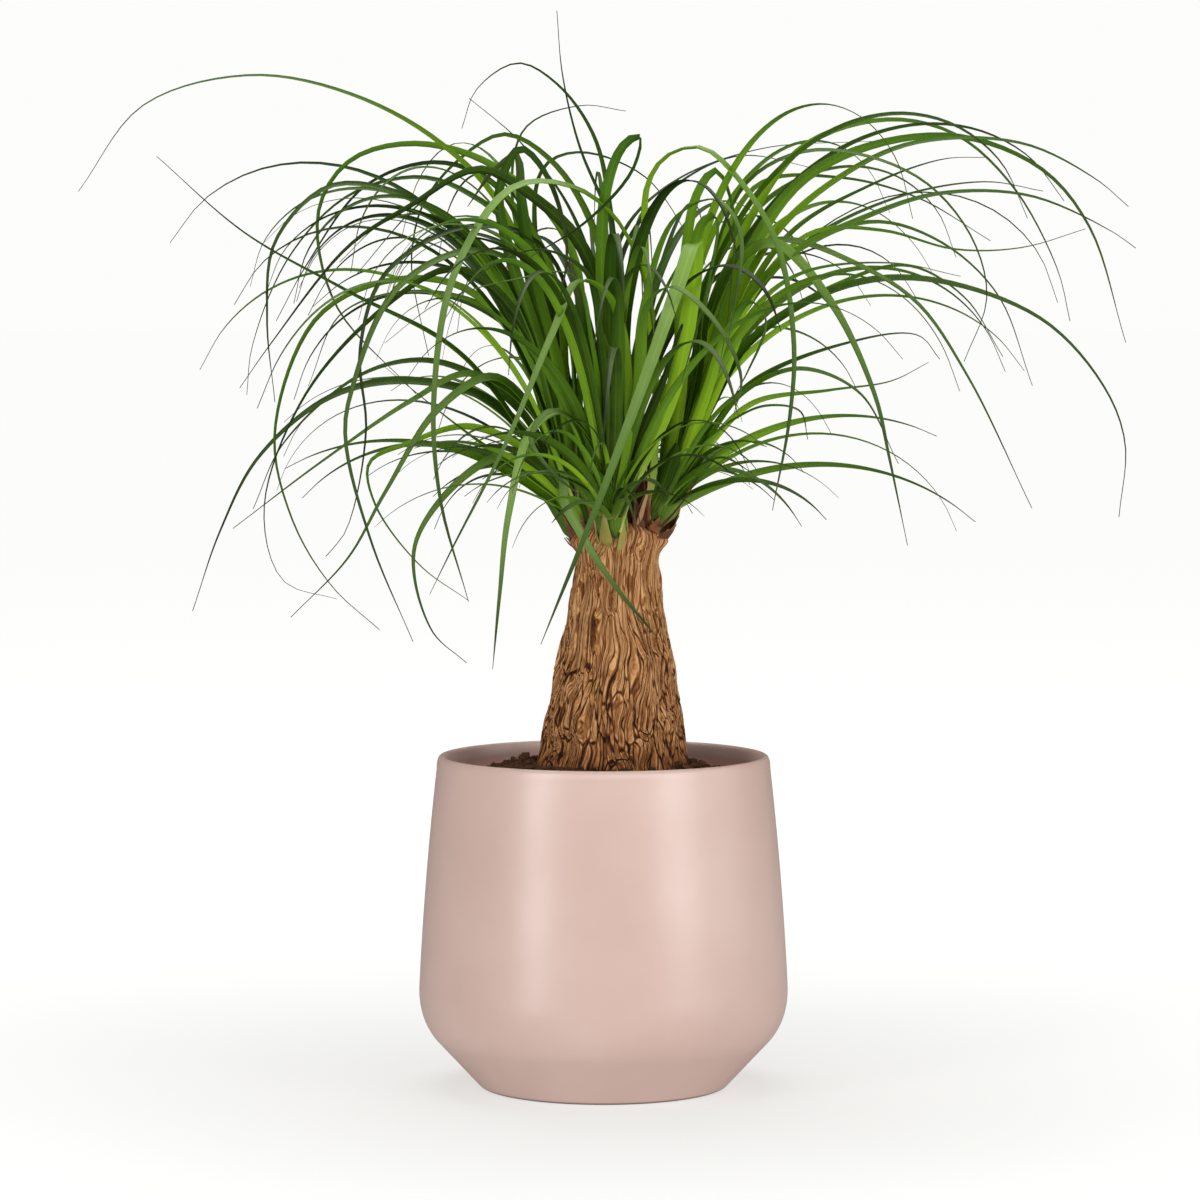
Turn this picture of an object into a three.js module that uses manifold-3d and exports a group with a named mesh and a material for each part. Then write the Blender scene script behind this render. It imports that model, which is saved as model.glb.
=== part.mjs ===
// A potted ponytail palm: a ceramic pot, its soil, the swollen corky trunk and four heads of strap leaves.
// Millimetres, +Z up, origin at the centre of the pot's foot, front towards -Y.
import * as THREE from "three";
import { mergeVertices } from "three/addons/utils/BufferGeometryUtils.js";
import Module from "manifold-3d";

const wasm = await Module();
wasm.setup();

// Driving dimensions
const GAP = 0.3; // clearance between neighbouring pieces
const SEED = 20817;
const POT = {
  height: 180,
  footRadius: 66.5,
  coneRadius: 89,
  coneHeight: 24,
  bellyRadius: 100,
  bellyHeight: 53,
  midRadius: 96.2,
  midHeight: 112,
  lipRadius: 90.3,
  lipHeight: 173,
  wall: 5.5,
  basePlate: 9,
  edge: 1.6, // rounding where the foot meets the cone
  slack: 1.5, // how much further in the inside's foot stands than the outside's
  sides: 44,
};
const SOIL = {
  top: [
    [73, 168],
    [62, 171],
    [52, 174],
  ], // radius and height of the mound
  wallHeight: 165,
  trunkHeight: 176,
  lump: 1.3,
  clearance: 0.5,
  sides: 30,
};
const TRUNK = {
  buriedEnd: 131,
  soilLine: 176,
  top: 309,
  axisX: 5.1, // centre of the trunk at the soil line
  lean: 0.023, // how far the centre moves to +X for each millimetre up
  sides: 48,
  rings: 22,
  ridges: 12,
  ridgeDepth: 2.1,
  reliefEnd: 300,
  holeClearance: 0.6,
};
// Radius of the trunk at each height: buried end, soil line, long cone, waist and crown swelling
const TRUNK_PROFILE = [
  [131, 3],
  [134, 24],
  [146, 38],
  [160, 41.6],
  [174, 41],
  [189, 38.4],
  [198, 37],
  [215.5, 33.9],
  [233, 30.6],
  [250, 27],
  [267, 23.9],
  [284.5, 21.6],
  [291, 22.4],
  [297, 23.6],
  [302, 22],
  [306, 15],
  [309, 4],
];
// Relief of the bark: how far it fades in above the soil and out below the crown, two waves that the ridges
// wander by (size, height of a wave, turns), and the plates that the ridges break into
const RELIEF = {
  fadeIn: 8,
  fadeOut: 25,
  slow: { size: 0.9, height: 19, turns: 2 },
  fast: { size: 0.5, height: 8, turns: -3 },
  plate: { mean: 0.75, size: 0.45, height: 5.5, sway: 4 },
  share: 0.6,
  sink: 0.3,
  coreRadius: 5, // nearer to the axis the surface stays plain
};
// The front view's eye point: a leaf's way is listed as that view shows it in the plane of the pot's axis
const EYE = { distance: 2575, height: 418.6 };

// Leaf heads: seat on the crown, lean of the core, and the sector that the seeded leaves fill
const HEADS = {
  left: { seat: [-9, 3, 300], lean: [-0.42, 0.06], azimuth: 180, spread: 66, seeded: 16, reach: 1 },
  front: { seat: [5, -18, 296], lean: [-0.05, -0.3], azimuth: 268, spread: 50, seeded: 14, reach: 0.8 },
  right: { seat: [24, -3, 301], lean: [0.5, -0.08], azimuth: 0, spread: 62, seeded: 14, reach: 1 },
  back: { seat: [6, 19, 298], lean: [0, 0.34], azimuth: 92, spread: 66, seeded: 24, reach: 0.82 },
};
const CORE = {
  radius: 9.2,
  below: 9,
  height: 34,
  sides: 10,
  root: 4.5,
  foot: 0.62, // share of the radius at the foot
  swell: [
    [0.95, -2],
    [1, 6],
    [0.86, 16],
    [0.55, 27],
  ], // share of the radius and height above the seat
};
const KNOB = {
  sides: 10,
  outline: [
    [0, -19],
    [6, -17],
    [10.4, -9],
    [11.8, -2],
    [11.2, 2.5],
    [0, 3],
  ], // radius and height above the seat
  scales: 4,
  turn: 0.37,
  scaleWidth: 8,
  scaleOut: 1.6,
  scaleRise: [
    [-0.6, -7, 1],
    [0, 1, 0.9],
    [0.9, 8, 0.16],
  ], // distance out, height and share of the width, from a scale's foot to its point
  thickness: 1.1,
};
// The dry curled scale that stands between the front and right heads
const DRY_SCALE = { width: 7, way: [[16, -9.5, 300], [17.5, -11, 316], [19, -13, 330], [18, -16, 341]] };

// Each leaf: depth of its tip behind the head (+) or before it (-), greatest width, and its way from the
// head to its tip as x and height pairs
const LEAVES = {
  left: [
    [-30, 5, [-52, 469, -87, 509, -136, 536, -190, 546, -247, 530, -282, 484]],
    [-60, 5, [-77, 396, -137, 430, -193, 462, -240, 503]],
    [-50, 7.5, [-45, 424, -67, 455, -103, 480, -146, 487, -176, 458, -181, 416, -177, 371]],
    [40, 6.5, [-18, 452, -56, 495, -100, 509, -136, 500, -153, 473, -144, 423, -101, 375]],
    [-40, 5, [-46, 334, -75, 355, -118, 390]],
    [70, 5.5, [-32, 430, -56, 485, -88, 499, -127, 487, -159, 445, -176, 414]],
    [95, 4.5, [-45, 457, -72, 482, -99, 491, -137, 481, -169, 448, -189, 400, -192, 374]],
    [-20, 5, [-40, 409, -81, 466, -100, 472, -119, 467, -142, 446]],
    [20, 4.5, [-26, 436, -50, 479, -72, 494, -100, 476, -133, 439]],
    [-75, 5.5, [-24, 440, -46, 462, -81, 463, -118, 439, -131, 399, -128, 355, -139, 302, -150, 288]],
    [-105, 5, [-26, 425, -67, 452, -110, 433, -136, 376, -139, 351, -125, 295, -103, 242]],
    [-85, 5.5, [-34, 393, -61, 433, -83, 442, -121, 419, -161, 374, -183, 314, -173, 275, -144, 265]],
    [-35, 5, [-32, 376, -72, 430, -114, 436, -154, 416, -177, 355, -168, 308, -147, 272, -121, 248]],
    [30, 5, [-40, 387, -61, 420, -103, 430, -141, 418, -159, 379]],
    [-15, 5.5, [-45, 355, -67, 374, -110, 382, -148, 373, -186, 341, -207, 301, -222, 258]],
    [25, 4.5, [-45, 366, -88, 392, -127, 387, -172, 349, -189, 313]],
    [-60, 4.5, [-40, 366, -72, 386, -103, 372, -152, 339, -200, 303]],
    [-30, 5, [-40, 335, -55, 341, -80, 326, -102, 292, -93, 248, -74, 230]],
    [-45, 5.5, [-36, 339, -72, 357, -106, 348, -126, 338, -123, 316, -99, 283, -73, 264]],
    [-70, 5.5, [-32, 355, -59, 384, -89, 367, -118, 322, -138, 287, -169, 255]],
    [-40, 9, [-25, 382, -38, 436, -44, 479, -47, 503, -59, 495, -73, 476]],
    [-75, 6, [-34, 398, -51, 452, -56, 485, -45, 507, -31, 493, -20, 455, -24, 422]],
  ],
  front: [
    [-100, 8, [0, 414, -12, 455, -39, 482, -67, 496, -103, 477, -137, 455, -179, 403, -196, 379]],
    [-60, 5, [-7, 333, -23, 365, -38, 356, -51, 310, -56, 267, -60, 227]],
    [-50, 4.5, [-1, 333, -14, 359, -29, 366, -39, 352, -28, 334, -10, 319]],
    [-60, 5.5, [-7, 403, -17, 439, -48, 437, -88, 425, -118, 403]],
    [-80, 5, [-2, 403, -10, 441, -37, 453, -71, 436, -88, 412]],
    [-120, 7, [26, 371, 24, 425, 7, 468, -17, 486, -48, 486, -79, 442, -91, 375, -88, 320, -73, 264]],
    [-130, 6.5, [12, 360, 9, 409, 0, 430, -13, 436, -27, 408, -52, 350, -82, 292, -94, 268]],
    [-70, 6.5, [2, 382, -1, 447, 1, 483, 10, 508, 19, 514, 15, 496, -9, 469, -40, 449]],
    [-110, 5.5, [18, 371, 22, 420, 39, 470, 60, 480, 73, 463, 67, 403]],
    [-140, 8, [36, 371, 48, 430, 49, 457, 40, 432, 22, 382, -2, 319, -34, 241]],
    [-48, 6.5, [-11, 322, -19, 332, -20, 318, -13, 303, 5, 274, 30, 243]],
    [-35, 5.5, [13, 330, 21, 355, 31, 379, 43, 414, 52, 428]],
    [-25, 9, [-6, 371, -11, 409, -15, 436, -20, 452]],
    [-130, 6, [20, 382, 25, 425, 37, 433, 61, 413, 74, 384, 70, 365]],
  ],
  right: [
    [-90, 7, [30, 371, 24, 450, 25, 488, 35, 503, 52, 507, 73, 489, 93, 455, 102, 403, 100, 363, 91, 313]],
    [-70, 9, [60, 382, 71, 430, 77, 449, 92, 456, 122, 425, 146, 375, 154, 341, 164, 294]],
    [-50, 5.5, [40, 371, 42, 425, 50, 482, 60, 495, 69, 475, 68, 430, 62, 387]],
    [-75, 6, [41, 371, 44, 414, 53, 467, 60, 471, 57, 440, 42, 382]],
    [40, 5.5, [55, 382, 64, 430, 78, 467, 108, 508, 152, 522, 189, 514, 220, 486, 244, 442, 251, 414]],
    [-20, 8, [60, 398, 77, 447, 105, 488, 143, 508, 192, 513, 235, 496, 261, 465, 281, 403]],
    [-50, 7.5, [66, 409, 93, 461, 128, 492, 167, 510, 224, 510, 264, 491, 282, 476]],
    [20, 5.5, [68, 409, 100, 461, 143, 487, 182, 501, 206, 502]],
    [-60, 5.5, [50, 382, 57, 436, 77, 488, 107, 505, 141, 503, 174, 488, 198, 459, 206, 427, 194, 393]],
    [65, 5, [48, 382, 57, 436, 83, 487, 126, 491, 169, 480, 208, 457]],
    [-80, 7, [63, 398, 81, 430, 101, 450, 140, 470, 180, 483, 229, 482, 273, 463, 286, 454]],
    [5, 5, [64, 403, 106, 454, 156, 480, 205, 489, 236, 484]],
    [-30, 5, [66, 398, 87, 438, 113, 462, 150, 463, 189, 453, 225, 454, 259, 464]],
    [85, 5, [66, 403, 91, 442, 142, 467, 180, 457, 212, 428, 231, 379]],
    [-95, 5, [63, 382, 82, 422, 108, 441, 156, 446, 192, 439]],
    [-40, 5.5, [60, 371, 79, 403, 126, 432, 173, 437, 235, 416, 269, 380, 281, 349, 278, 309]],
    [35, 5, [57, 375, 80, 404, 122, 432, 163, 444, 194, 427, 215, 395]],
    [-60, 5.5, [52, 382, 59, 425, 73, 450, 97, 458, 132, 447, 168, 425, 196, 385, 231, 314]],
    [-30, 5, [59, 355, 80, 381, 125, 401, 169, 407, 181, 394]],
    [-70, 5, [58, 352, 77, 377, 106, 389, 138, 376, 159, 338]],
    [20, 5, [59, 349, 81, 370, 122, 377, 155, 382, 175, 392]],
    [-55, 5, [52, 345, 70, 361, 88, 369, 106, 366, 110, 351]],
    [-20, 5, [47, 330, 56, 343, 74, 350, 88, 347]],
    [-45, 5, [46, 326, 52, 336, 65, 341, 80, 333]],
    [-85, 5, [54, 371, 67, 409, 79, 425, 87, 415, 77, 387, 71, 376]],
  ],
  back: [
    [60, 5, [5, 409, -5, 463, -27, 499, -53, 514, -78, 500, -97, 476, -103, 450, -102, 433, -94, 395]],
    [50, 5, [8, 398, 4, 471, -5, 513, -25, 541, -46, 552, -68, 538, -76, 517]],
    [25, 4.5, [12, 409, 5, 463, -13, 508, -22, 546, -25, 580]],
    [85, 4.5, [-2, 425, -18, 474, -45, 510, -72, 533]],
    [105, 4.5, [-30, 414, -49, 479, -42, 517, -12, 529, 12, 526]],
    [125, 4.5, [-36, 452, -32, 496, -13, 504, 22, 491, 44, 461, 52, 441]],
    [95, 4.5, [3, 425, 12, 463, 39, 489, 85, 506, 145, 510]],
    [125, 4.5, [6, 425, 14, 458, 37, 485, 73, 502, 115, 495]],
  ],
};
// Seeded leaves: spans of launch angle and tip angle from the vertical, length and width
const SEEDED = {
  inner: { launch: [4, 16], tip: [150, 178], length: [300, 390], width: [5, 7.5], bend: 2.1 },
  outer: { launch: [14, 34], tip: [130, 165], length: [270, 380], width: [4.5, 6.5], bend: 1.5 },
  skirt: { launch: [34, 62], tip: [105, 140], length: [110, 190], width: [4.5, 6], bend: 1.2 },
};
// How far to each side of the pot's axis a seeded leaf may show in the front view
const SEEDED_REACH = { left: 222, right: 255 };
const SEEDED_STEPS = 12;
const BLADE = { thickness: 0.16, thinnest: 0.75, tipWidth: 1.1, rootShare: 0.55, widestAt: 0.16, taper: 0.6 };
// Sections of a blade: their number grows with its bends, between the fewest and the most, and they stand
// closer where it bends more
const SECTIONS = { judged: 48, base: 3, perBend: 1.6, fewest: 4, most: 9, crowding: 0.45 };
// Roll of a blade about its line, in degrees: a leaf seen from the side, and the spread of one seen end on
const ROLL = { least: 28, spread: 22, endOn: 30, downShare: 0.7 };

// How leaves of different heads are kept apart: points judged along a leaf, least distances, and the
// changes of depth or azimuth that are tried in turn
const CLEAR = {
  samples: 64,
  leaves: 1,
  centres: 4.5,
  trunk: 3,
  core: 0.6,
  crownHeight: 290,
  coreHeights: [0, 8, 16, 24],
  shifts: [0, -9, 9, -18, 18, -27, 27, -38, 38, -50, 50, -65, 65],
  turns: [0, 4, -4, 8, -8, 12, -12, 17, -17],
};

const radians = THREE.MathUtils.degToRad;

// Numbers from 0 to 1, the same in every run
function seededNumbers(seed) {
  let state = seed;
  return () => {
    state = (state * 1664525 + 1013904223) % 4294967296;
    return state / 4294967296;
  };
}

// Value at x on a line through [x, value] pairs
function alongLine(pairs, x) {
  if (x <= pairs[0][0]) return pairs[0][1];
  for (let i = 1; i < pairs.length; i++) {
    const [x0, v0] = pairs[i - 1];
    const [x1, v1] = pairs[i];
    if (x <= x1) return v0 + ((v1 - v0) * (x - x0)) / (x1 - x0);
  }
  return pairs[pairs.length - 1][1];
}

const trunkRadius = (z) => alongLine(TRUNK_PROFILE, z);
const trunkCentre = (z) => TRUNK.axisX + TRUNK.lean * (z - TRUNK.soilLine);

// A three.js geometry as a solid, with its shared vertices merged
function solidOf(geometry) {
  const bare = geometry.clone();
  bare.deleteAttribute("normal");
  bare.deleteAttribute("uv");
  const merged = mergeVertices(bare, 1e-4);
  const mesh = new wasm.Mesh({
    numProp: 3,
    vertProperties: new Float32Array(merged.attributes.position.array),
    triVerts: new Uint32Array(merged.index.array),
  });
  return new wasm.Manifold(mesh);
}

function geometryOf(solid) {
  const mesh = solid.getMesh();
  const geometry = new THREE.BufferGeometry();
  geometry.setAttribute("position", new THREE.BufferAttribute(mesh.vertProperties, 3));
  geometry.setIndex(new THREE.BufferAttribute(mesh.triVerts, 1));
  geometry.computeVertexNormals();
  return geometry;
}

// A lathe about +Z: radius and height pairs, first and last on the axis, from the foot up the outside
function turned(profile, sides) {
  const points = profile.map(([r, z]) => new THREE.Vector2(r, z));
  return new THREE.LatheGeometry(points, sides).rotateX(Math.PI / 2);
}

// Pot: straight foot cone, curved shoulder, leaning wall, rounded lip, then the inside down to its floor
function potOutline() {
  const outer = new THREE.Path();
  outer.moveTo(POT.footRadius - POT.edge, 0);
  outer.quadraticCurveTo(POT.footRadius, 0, POT.footRadius + POT.edge, POT.edge);
  outer.lineTo(POT.coneRadius, POT.coneHeight);
  const shoulder = POT.coneHeight + POT.bellyRadius - POT.coneRadius;
  outer.quadraticCurveTo(POT.bellyRadius, shoulder, POT.bellyRadius, POT.bellyHeight);
  const bulge = 2 * POT.midRadius - (POT.bellyRadius + POT.lipRadius) / 2;
  outer.quadraticCurveTo(bulge, POT.midHeight, POT.lipRadius, POT.lipHeight);
  const crest = POT.lipRadius - POT.wall / 2;
  const inner = POT.lipRadius - POT.wall;
  outer.quadraticCurveTo(POT.lipRadius, POT.height, crest, POT.height);
  outer.quadraticCurveTo(inner, POT.height, inner, POT.lipHeight);
  return outer.getPoints(3);
}

// Height and radius of the pot's inside, from its floor to the lip
const POT_INSIDE = [
  [POT.basePlate, POT.footRadius - POT.slack],
  [POT.coneHeight, POT.coneRadius - POT.wall - POT.slack],
  [POT.bellyHeight, POT.bellyRadius - POT.wall],
  [POT.midHeight, POT.midRadius - POT.wall],
  [POT.lipHeight, POT.lipRadius - POT.wall],
];
const insideRadius = (z) => alongLine(POT_INSIDE, z);

function potGeometry() {
  const outer = potOutline().map((p) => [p.x, p.y]);
  const inner = POT_INSIDE.slice(0, -1).reverse().map(([z, r]) => [r, z]);
  return turned([[0, 0], ...outer, ...inner, [0, POT.basePlate]], POT.sides);
}

// Soil: a plug of the pot's inside with a lumpy top and a plain hole of the trunk's buried shape
function soilGeometry() {
  const floor = POT.basePlate + GAP;
  const side = [floor, POT.coneHeight, POT.bellyHeight, POT.midHeight, SOIL.wallHeight];
  const outer = side.map((z) => [insideRadius(z) - SOIL.clearance, z]);
  const geometry = turned([[0, floor], ...outer, ...SOIL.top, [0, SOIL.trunkHeight]], SOIL.sides);
  const position = geometry.attributes.position;
  for (let i = 0; i < position.count; i++) {
    const [x, y, z] = [position.getX(i), position.getY(i), position.getZ(i)];
    if (z <= SOIL.wallHeight) continue;
    const wave = Math.sin(x * 0.31 + y * 0.17) + Math.sin(y * 0.37 - x * 0.11) * Math.cos(x * 0.23);
    position.setZ(i, z + SOIL.lump * wave);
  }
  return geometry;
}

function buriedHole() {
  const rim = POT.height;
  const room = TRUNK.holeClearance;
  const hole = TRUNK_PROFILE.filter(([z]) => z < TRUNK.soilLine).map(([z, r]) => [r + room, z - room]);
  const wall = hole[hole.length - 1][0];
  const profile = [[0, TRUNK.buriedEnd - 1.5 * room], ...hole, [wall, rim], [0, rim]];
  return turned(profile, TRUNK.sides).translate(TRUNK.axisX, 0, 0);
}

// Bark: upright ridges that wander and break into plates, fading out at the soil and at the crown
function barkRelief(angle, z) {
  const { slow, fast, plate } = RELIEF;
  const low = THREE.MathUtils.smoothstep(z, TRUNK.soilLine, TRUNK.soilLine + RELIEF.fadeIn);
  const high = 1 - THREE.MathUtils.smoothstep(z, TRUNK.reliefEnd - RELIEF.fadeOut, TRUNK.reliefEnd);
  const wave = ({ size, height, turns }) => size * Math.sin(z / height + turns * angle);
  const ridge = Math.cos(TRUNK.ridges * angle + wave(slow) + wave(fast));
  const sway = plate.sway * Math.sin((TRUNK.ridges / 2) * angle + 1);
  const plates = plate.mean + plate.size * Math.sin(z / plate.height + sway);
  return low * high * TRUNK.ridgeDepth * (ridge * plates * RELIEF.share - RELIEF.sink);
}

function trunkGeometry() {
  const profile = [[0, TRUNK.buriedEnd - 0.4]];
  for (let i = 0; i <= TRUNK.rings; i++) {
    const z = TRUNK.buriedEnd + ((TRUNK.top - TRUNK.buriedEnd) * i) / TRUNK.rings;
    profile.push([trunkRadius(z), z]);
  }
  profile.push([0, TRUNK.top + 0.5]);
  const geometry = turned(profile, TRUNK.sides);
  const position = geometry.attributes.position;
  for (let i = 0; i < position.count; i++) {
    const [x, y, z] = [position.getX(i), position.getY(i), position.getZ(i)];
    const radius = Math.hypot(x, y);
    const angle = Math.atan2(y, x);
    const scale = radius > RELIEF.coreRadius ? (radius + barkRelief(angle, z)) / radius : 1;
    position.setXY(i, trunkCentre(z) + x * scale, y * scale);
  }
  return geometry;
}

// Stands a piece made about +Z on a head's seat, leaning as the head does
function onSeat(geometry, head) {
  const axis = new THREE.Vector3(head.lean[0], head.lean[1], 1).normalize();
  const turn = new THREE.Quaternion().setFromUnitVectors(new THREE.Vector3(0, 0, 1), axis);
  return geometry.applyQuaternion(turn).translate(...head.seat);
}

// A closed three-sided strip through sections of three corners each
function stripGeometry(vertices) {
  const sections = vertices.length / 9;
  const faces = [];
  for (let i = 0; i + 1 < sections; i++) {
    for (let k = 0; k < 3; k++) {
      const [a, b] = [3 * i + k, 3 * i + ((k + 1) % 3)];
      faces.push(a, b, b + 3, a, b + 3, a + 3);
    }
  }
  const last = 3 * (sections - 1);
  faces.push(0, 2, 1, last, last + 1, last + 2);
  const geometry = new THREE.BufferGeometry();
  geometry.setAttribute("position", new THREE.Float32BufferAttribute(vertices, 3));
  geometry.setIndex(faces);
  return geometry;
}

// A head's core: a slim bulb on its seat, narrow at the foot and at the top, leaning outwards
function coreGeometry(head, grow) {
  const r = CORE.radius + grow;
  const profile = [
    [0, -CORE.below - grow],
    [r * CORE.foot, -CORE.below - grow],
    ...CORE.swell.map(([share, up]) => [r * share, up]),
    [0, CORE.height + grow],
  ];
  return onSeat(turned(profile, CORE.sides), head);
}

// A swelling of the crown that carries a head: a rounded cup of old leaf bases under the core
function knobGeometry(head) {
  return onSeat(turned(KNOB.outline, KNOB.sides), head);
}

// A dry leaf base on a knob's rim: a pointed scale that rises beside the core
function scaleGeometry(head, turn) {
  const out = new THREE.Vector3(Math.cos(turn), Math.sin(turn), 0);
  const across = new THREE.Vector3(-out.y, out.x, 0);
  const ring = CORE.radius + KNOB.scaleOut;
  const vertices = [];
  for (const [away, z, share] of KNOB.scaleRise) {
    for (const [side, deep] of [
      [1, 0],
      [-1, 0],
      [0, 1],
    ]) {
      const p = out.clone().multiplyScalar(ring + away + deep * KNOB.thickness);
      p.addScaledVector(across, (side * share * KNOB.scaleWidth) / 2);
      vertices.push(p.x, p.y, z);
    }
  }
  return onSeat(stripGeometry(vertices), head);
}

// The point at depth y that the front view shows at x and z of the axis plane
function seenAt(x, y, z) {
  const nearness = 1 + y / EYE.distance;
  return new THREE.Vector3(x * nearness, y, EYE.height + (z - EYE.height) * nearness);
}

function headPoint(head, up) {
  const axis = new THREE.Vector3(head.lean[0], head.lean[1], 1).normalize();
  return new THREE.Vector3(...head.seat).addScaledVector(axis, up);
}

// A leaf's root: inside the core, on the side that the leaf leaves it
function rootPoint(head, rise, x, y) {
  const root = headPoint(head, rise);
  const out = new THREE.Vector3(x - root.x, y - root.y, 0);
  return root.addScaledVector(out, CORE.root / Math.max(CORE.root, out.length()));
}

// A listed leaf's curve: from inside the core through its listed way, its depth easing in along it
function listedCurve(head, [depth, , way], shift, rise) {
  const root = rootPoint(head, rise, way[0], head.seat[1] + 0.5 * (depth + shift));
  const flat = [[root.x, root.z]];
  for (let i = 0; i < way.length; i += 2) flat.push([way[i], way[i + 1]]);
  const reach = [0];
  for (let i = 1; i < flat.length; i++) {
    reach.push(reach[i - 1] + Math.hypot(flat[i][0] - flat[i - 1][0], flat[i][1] - flat[i - 1][1]));
  }
  const points = flat.map(([x, z], i) => {
    const u = reach[i] / reach[reach.length - 1];
    const ease = 0.4 * u + 0.6 * u * u * (3 - 2 * u);
    return i === 0 ? root : seenAt(x, root.y + (depth + shift) * ease, z);
  });
  return new THREE.CatmullRomCurve3(points, false, "centripetal");
}

// A seeded leaf's curve: its angle from the vertical grows from the launch to the tip as it arches over
function seededCurve(head, draw, azimuth, rise) {
  const heading = radians(azimuth);
  const aimX = head.seat[0] + draw.length * Math.cos(heading);
  const aimY = head.seat[1] + draw.length * Math.sin(heading);
  const points = [rootPoint(head, rise, aimX, aimY)];
  const step = draw.length / SEEDED_STEPS;
  for (let i = 0; i < SEEDED_STEPS; i++) {
    const along = (i + 0.5) / SEEDED_STEPS;
    const tilt = radians(draw.launch + (draw.tip - draw.launch) * along ** draw.bend);
    const sideways = radians(azimuth + draw.sweep * along);
    const last = points[points.length - 1];
    points.push(
      new THREE.Vector3(
        last.x + step * Math.sin(tilt) * Math.cos(sideways),
        last.y + step * Math.sin(tilt) * Math.sin(sideways),
        last.z + step * Math.cos(tilt),
      ),
    );
  }
  return new THREE.CatmullRomCurve3(points, false, "centripetal");
}

// Width of a blade at share u of its length: sheathing root, widest at a sixth, then a long taper
function bladeWidth(width, u) {
  const root = BLADE.rootShare + (1 - BLADE.rootShare) * Math.min(1, u / BLADE.widestAt);
  return Math.max(BLADE.tipWidth, width * root * (1 - u) ** BLADE.taper);
}

// Samples of a leaf with the radius that it needs there
function samplesOf(curve, width) {
  return curve.getSpacedPoints(CLEAR.samples - 1).map((p, i) => {
    const r = bladeWidth(width, i / (CLEAR.samples - 1)) / 2;
    return [p.x, p.y, p.z, r];
  });
}

// True when a leaf keeps clear of the leaves and cores of the other heads, of the trunk and of the pot
function isClear(samples, name, grown) {
  for (const [x, y, z, r] of samples) {
    const fromTrunk = Math.hypot(x - trunkCentre(z), y) - trunkRadius(z);
    if (z < CLEAR.crownHeight && fromTrunk < r + CLEAR.trunk) return false;
    for (const other of Object.keys(HEADS)) {
      if (other === name) continue;
      for (const up of CLEAR.coreHeights) {
        const core = headPoint(HEADS[other], up);
        const distance = Math.hypot(x - core.x, y - core.y, z - core.z);
        if (distance < CORE.radius + r + CLEAR.core) return false;
      }
    }
    for (const leaf of grown) {
      if (leaf.name === name) continue;
      for (const [ox, oy, oz, or] of leaf.samples) {
        const near = Math.max(r + or + CLEAR.leaves, CLEAR.centres);
        const [dx, dy, dz] = [x - ox, y - oy, z - oz];
        if (dx * dx + dy * dy + dz * dz < near * near) return false;
      }
    }
  }
  return true;
}

// True when a leaf shows nowhere further out to the side than the front view's own leaves do there
function isWithinReach(samples) {
  return samples.every(([x, y]) => {
    const shown = x / (1 + y / EYE.distance);
    return shown > -SEEDED_REACH.left && shown < SEEDED_REACH.right;
  });
}

// Every leaf with its curve: the listed ones first, each bent clear by the smallest change of depth, then
// the seeded ones, each turned clear about its head or left out
function growLeaves() {
  const curl = new THREE.CatmullRomCurve3(DRY_SCALE.way.map((p) => new THREE.Vector3(...p)));
  const { width } = DRY_SCALE;
  const grown = [{ name: "trunk", curve: curl, width, samples: samplesOf(curl, width) }];
  for (const [name, leaves] of Object.entries(LEAVES)) {
    leaves.forEach((leaf, i) => {
      const rise = 6 + 16 * ((i * 0.618) % 1);
      const shift = CLEAR.shifts.find((s) => {
        const curve = listedCurve(HEADS[name], leaf, s, rise);
        return isClear(samplesOf(curve, leaf[1]), name, grown);
      });
      if (shift === undefined) throw new Error("no clear way for leaf " + i + " of " + name);
      const curve = listedCurve(HEADS[name], leaf, shift, rise);
      grown.push({ name, curve, width: leaf[1], samples: samplesOf(curve, leaf[1]) });
    });
  }
  const random = seededNumbers(SEED);
  const between = ([low, high]) => low + (high - low) * random();
  for (const [name, head] of Object.entries(HEADS)) {
    for (let i = 0; i < head.seeded; i++) {
      const kind = Object.values(SEEDED)[i % 3];
      const draw = {
        launch: between(kind.launch),
        tip: between(kind.tip),
        length: head.reach * between(kind.length),
        width: between(kind.width),
        bend: kind.bend,
        sweep: 30 * random() - 15,
      };
      const azimuth = head.azimuth + head.spread * ((2 * (i + random())) / head.seeded - 1);
      const rise = 4 + 18 * random();
      const turn = CLEAR.turns.find((t) => {
        const samples = samplesOf(seededCurve(head, draw, azimuth + t, rise), draw.width);
        return isWithinReach(samples) && isClear(samples, name, grown);
      });
      if (turn === undefined) continue;
      const curve = seededCurve(head, draw, azimuth + turn, rise);
      grown.push({ name, curve, width: draw.width, samples: samplesOf(curve, draw.width) });
    }
  }
  return grown;
}

// Stations along a curve, closer where it bends more
function stationsOf(curve) {
  const fine = curve.getSpacedPoints(SECTIONS.judged);
  const measure = [0];
  let bends = 0;
  for (let i = 1; i < fine.length; i++) {
    const here = fine[i].clone().sub(fine[i - 1]);
    const before = i > 1 ? fine[i - 1].clone().sub(fine[i - 2]) : here;
    const bend = before.angleTo(here);
    bends += bend;
    measure.push(measure[i - 1] + 1 / SECTIONS.judged + bend * SECTIONS.crowding);
  }
  const wanted = SECTIONS.base + bends * SECTIONS.perBend;
  const count = Math.round(THREE.MathUtils.clamp(wanted, SECTIONS.fewest, SECTIONS.most));
  const total = measure[measure.length - 1];
  const pairs = measure.map((m, i) => [m / total, i / SECTIONS.judged]);
  return Array.from({ length: count + 1 }, (_, i) => alongLine(pairs, i / count));
}

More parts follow.
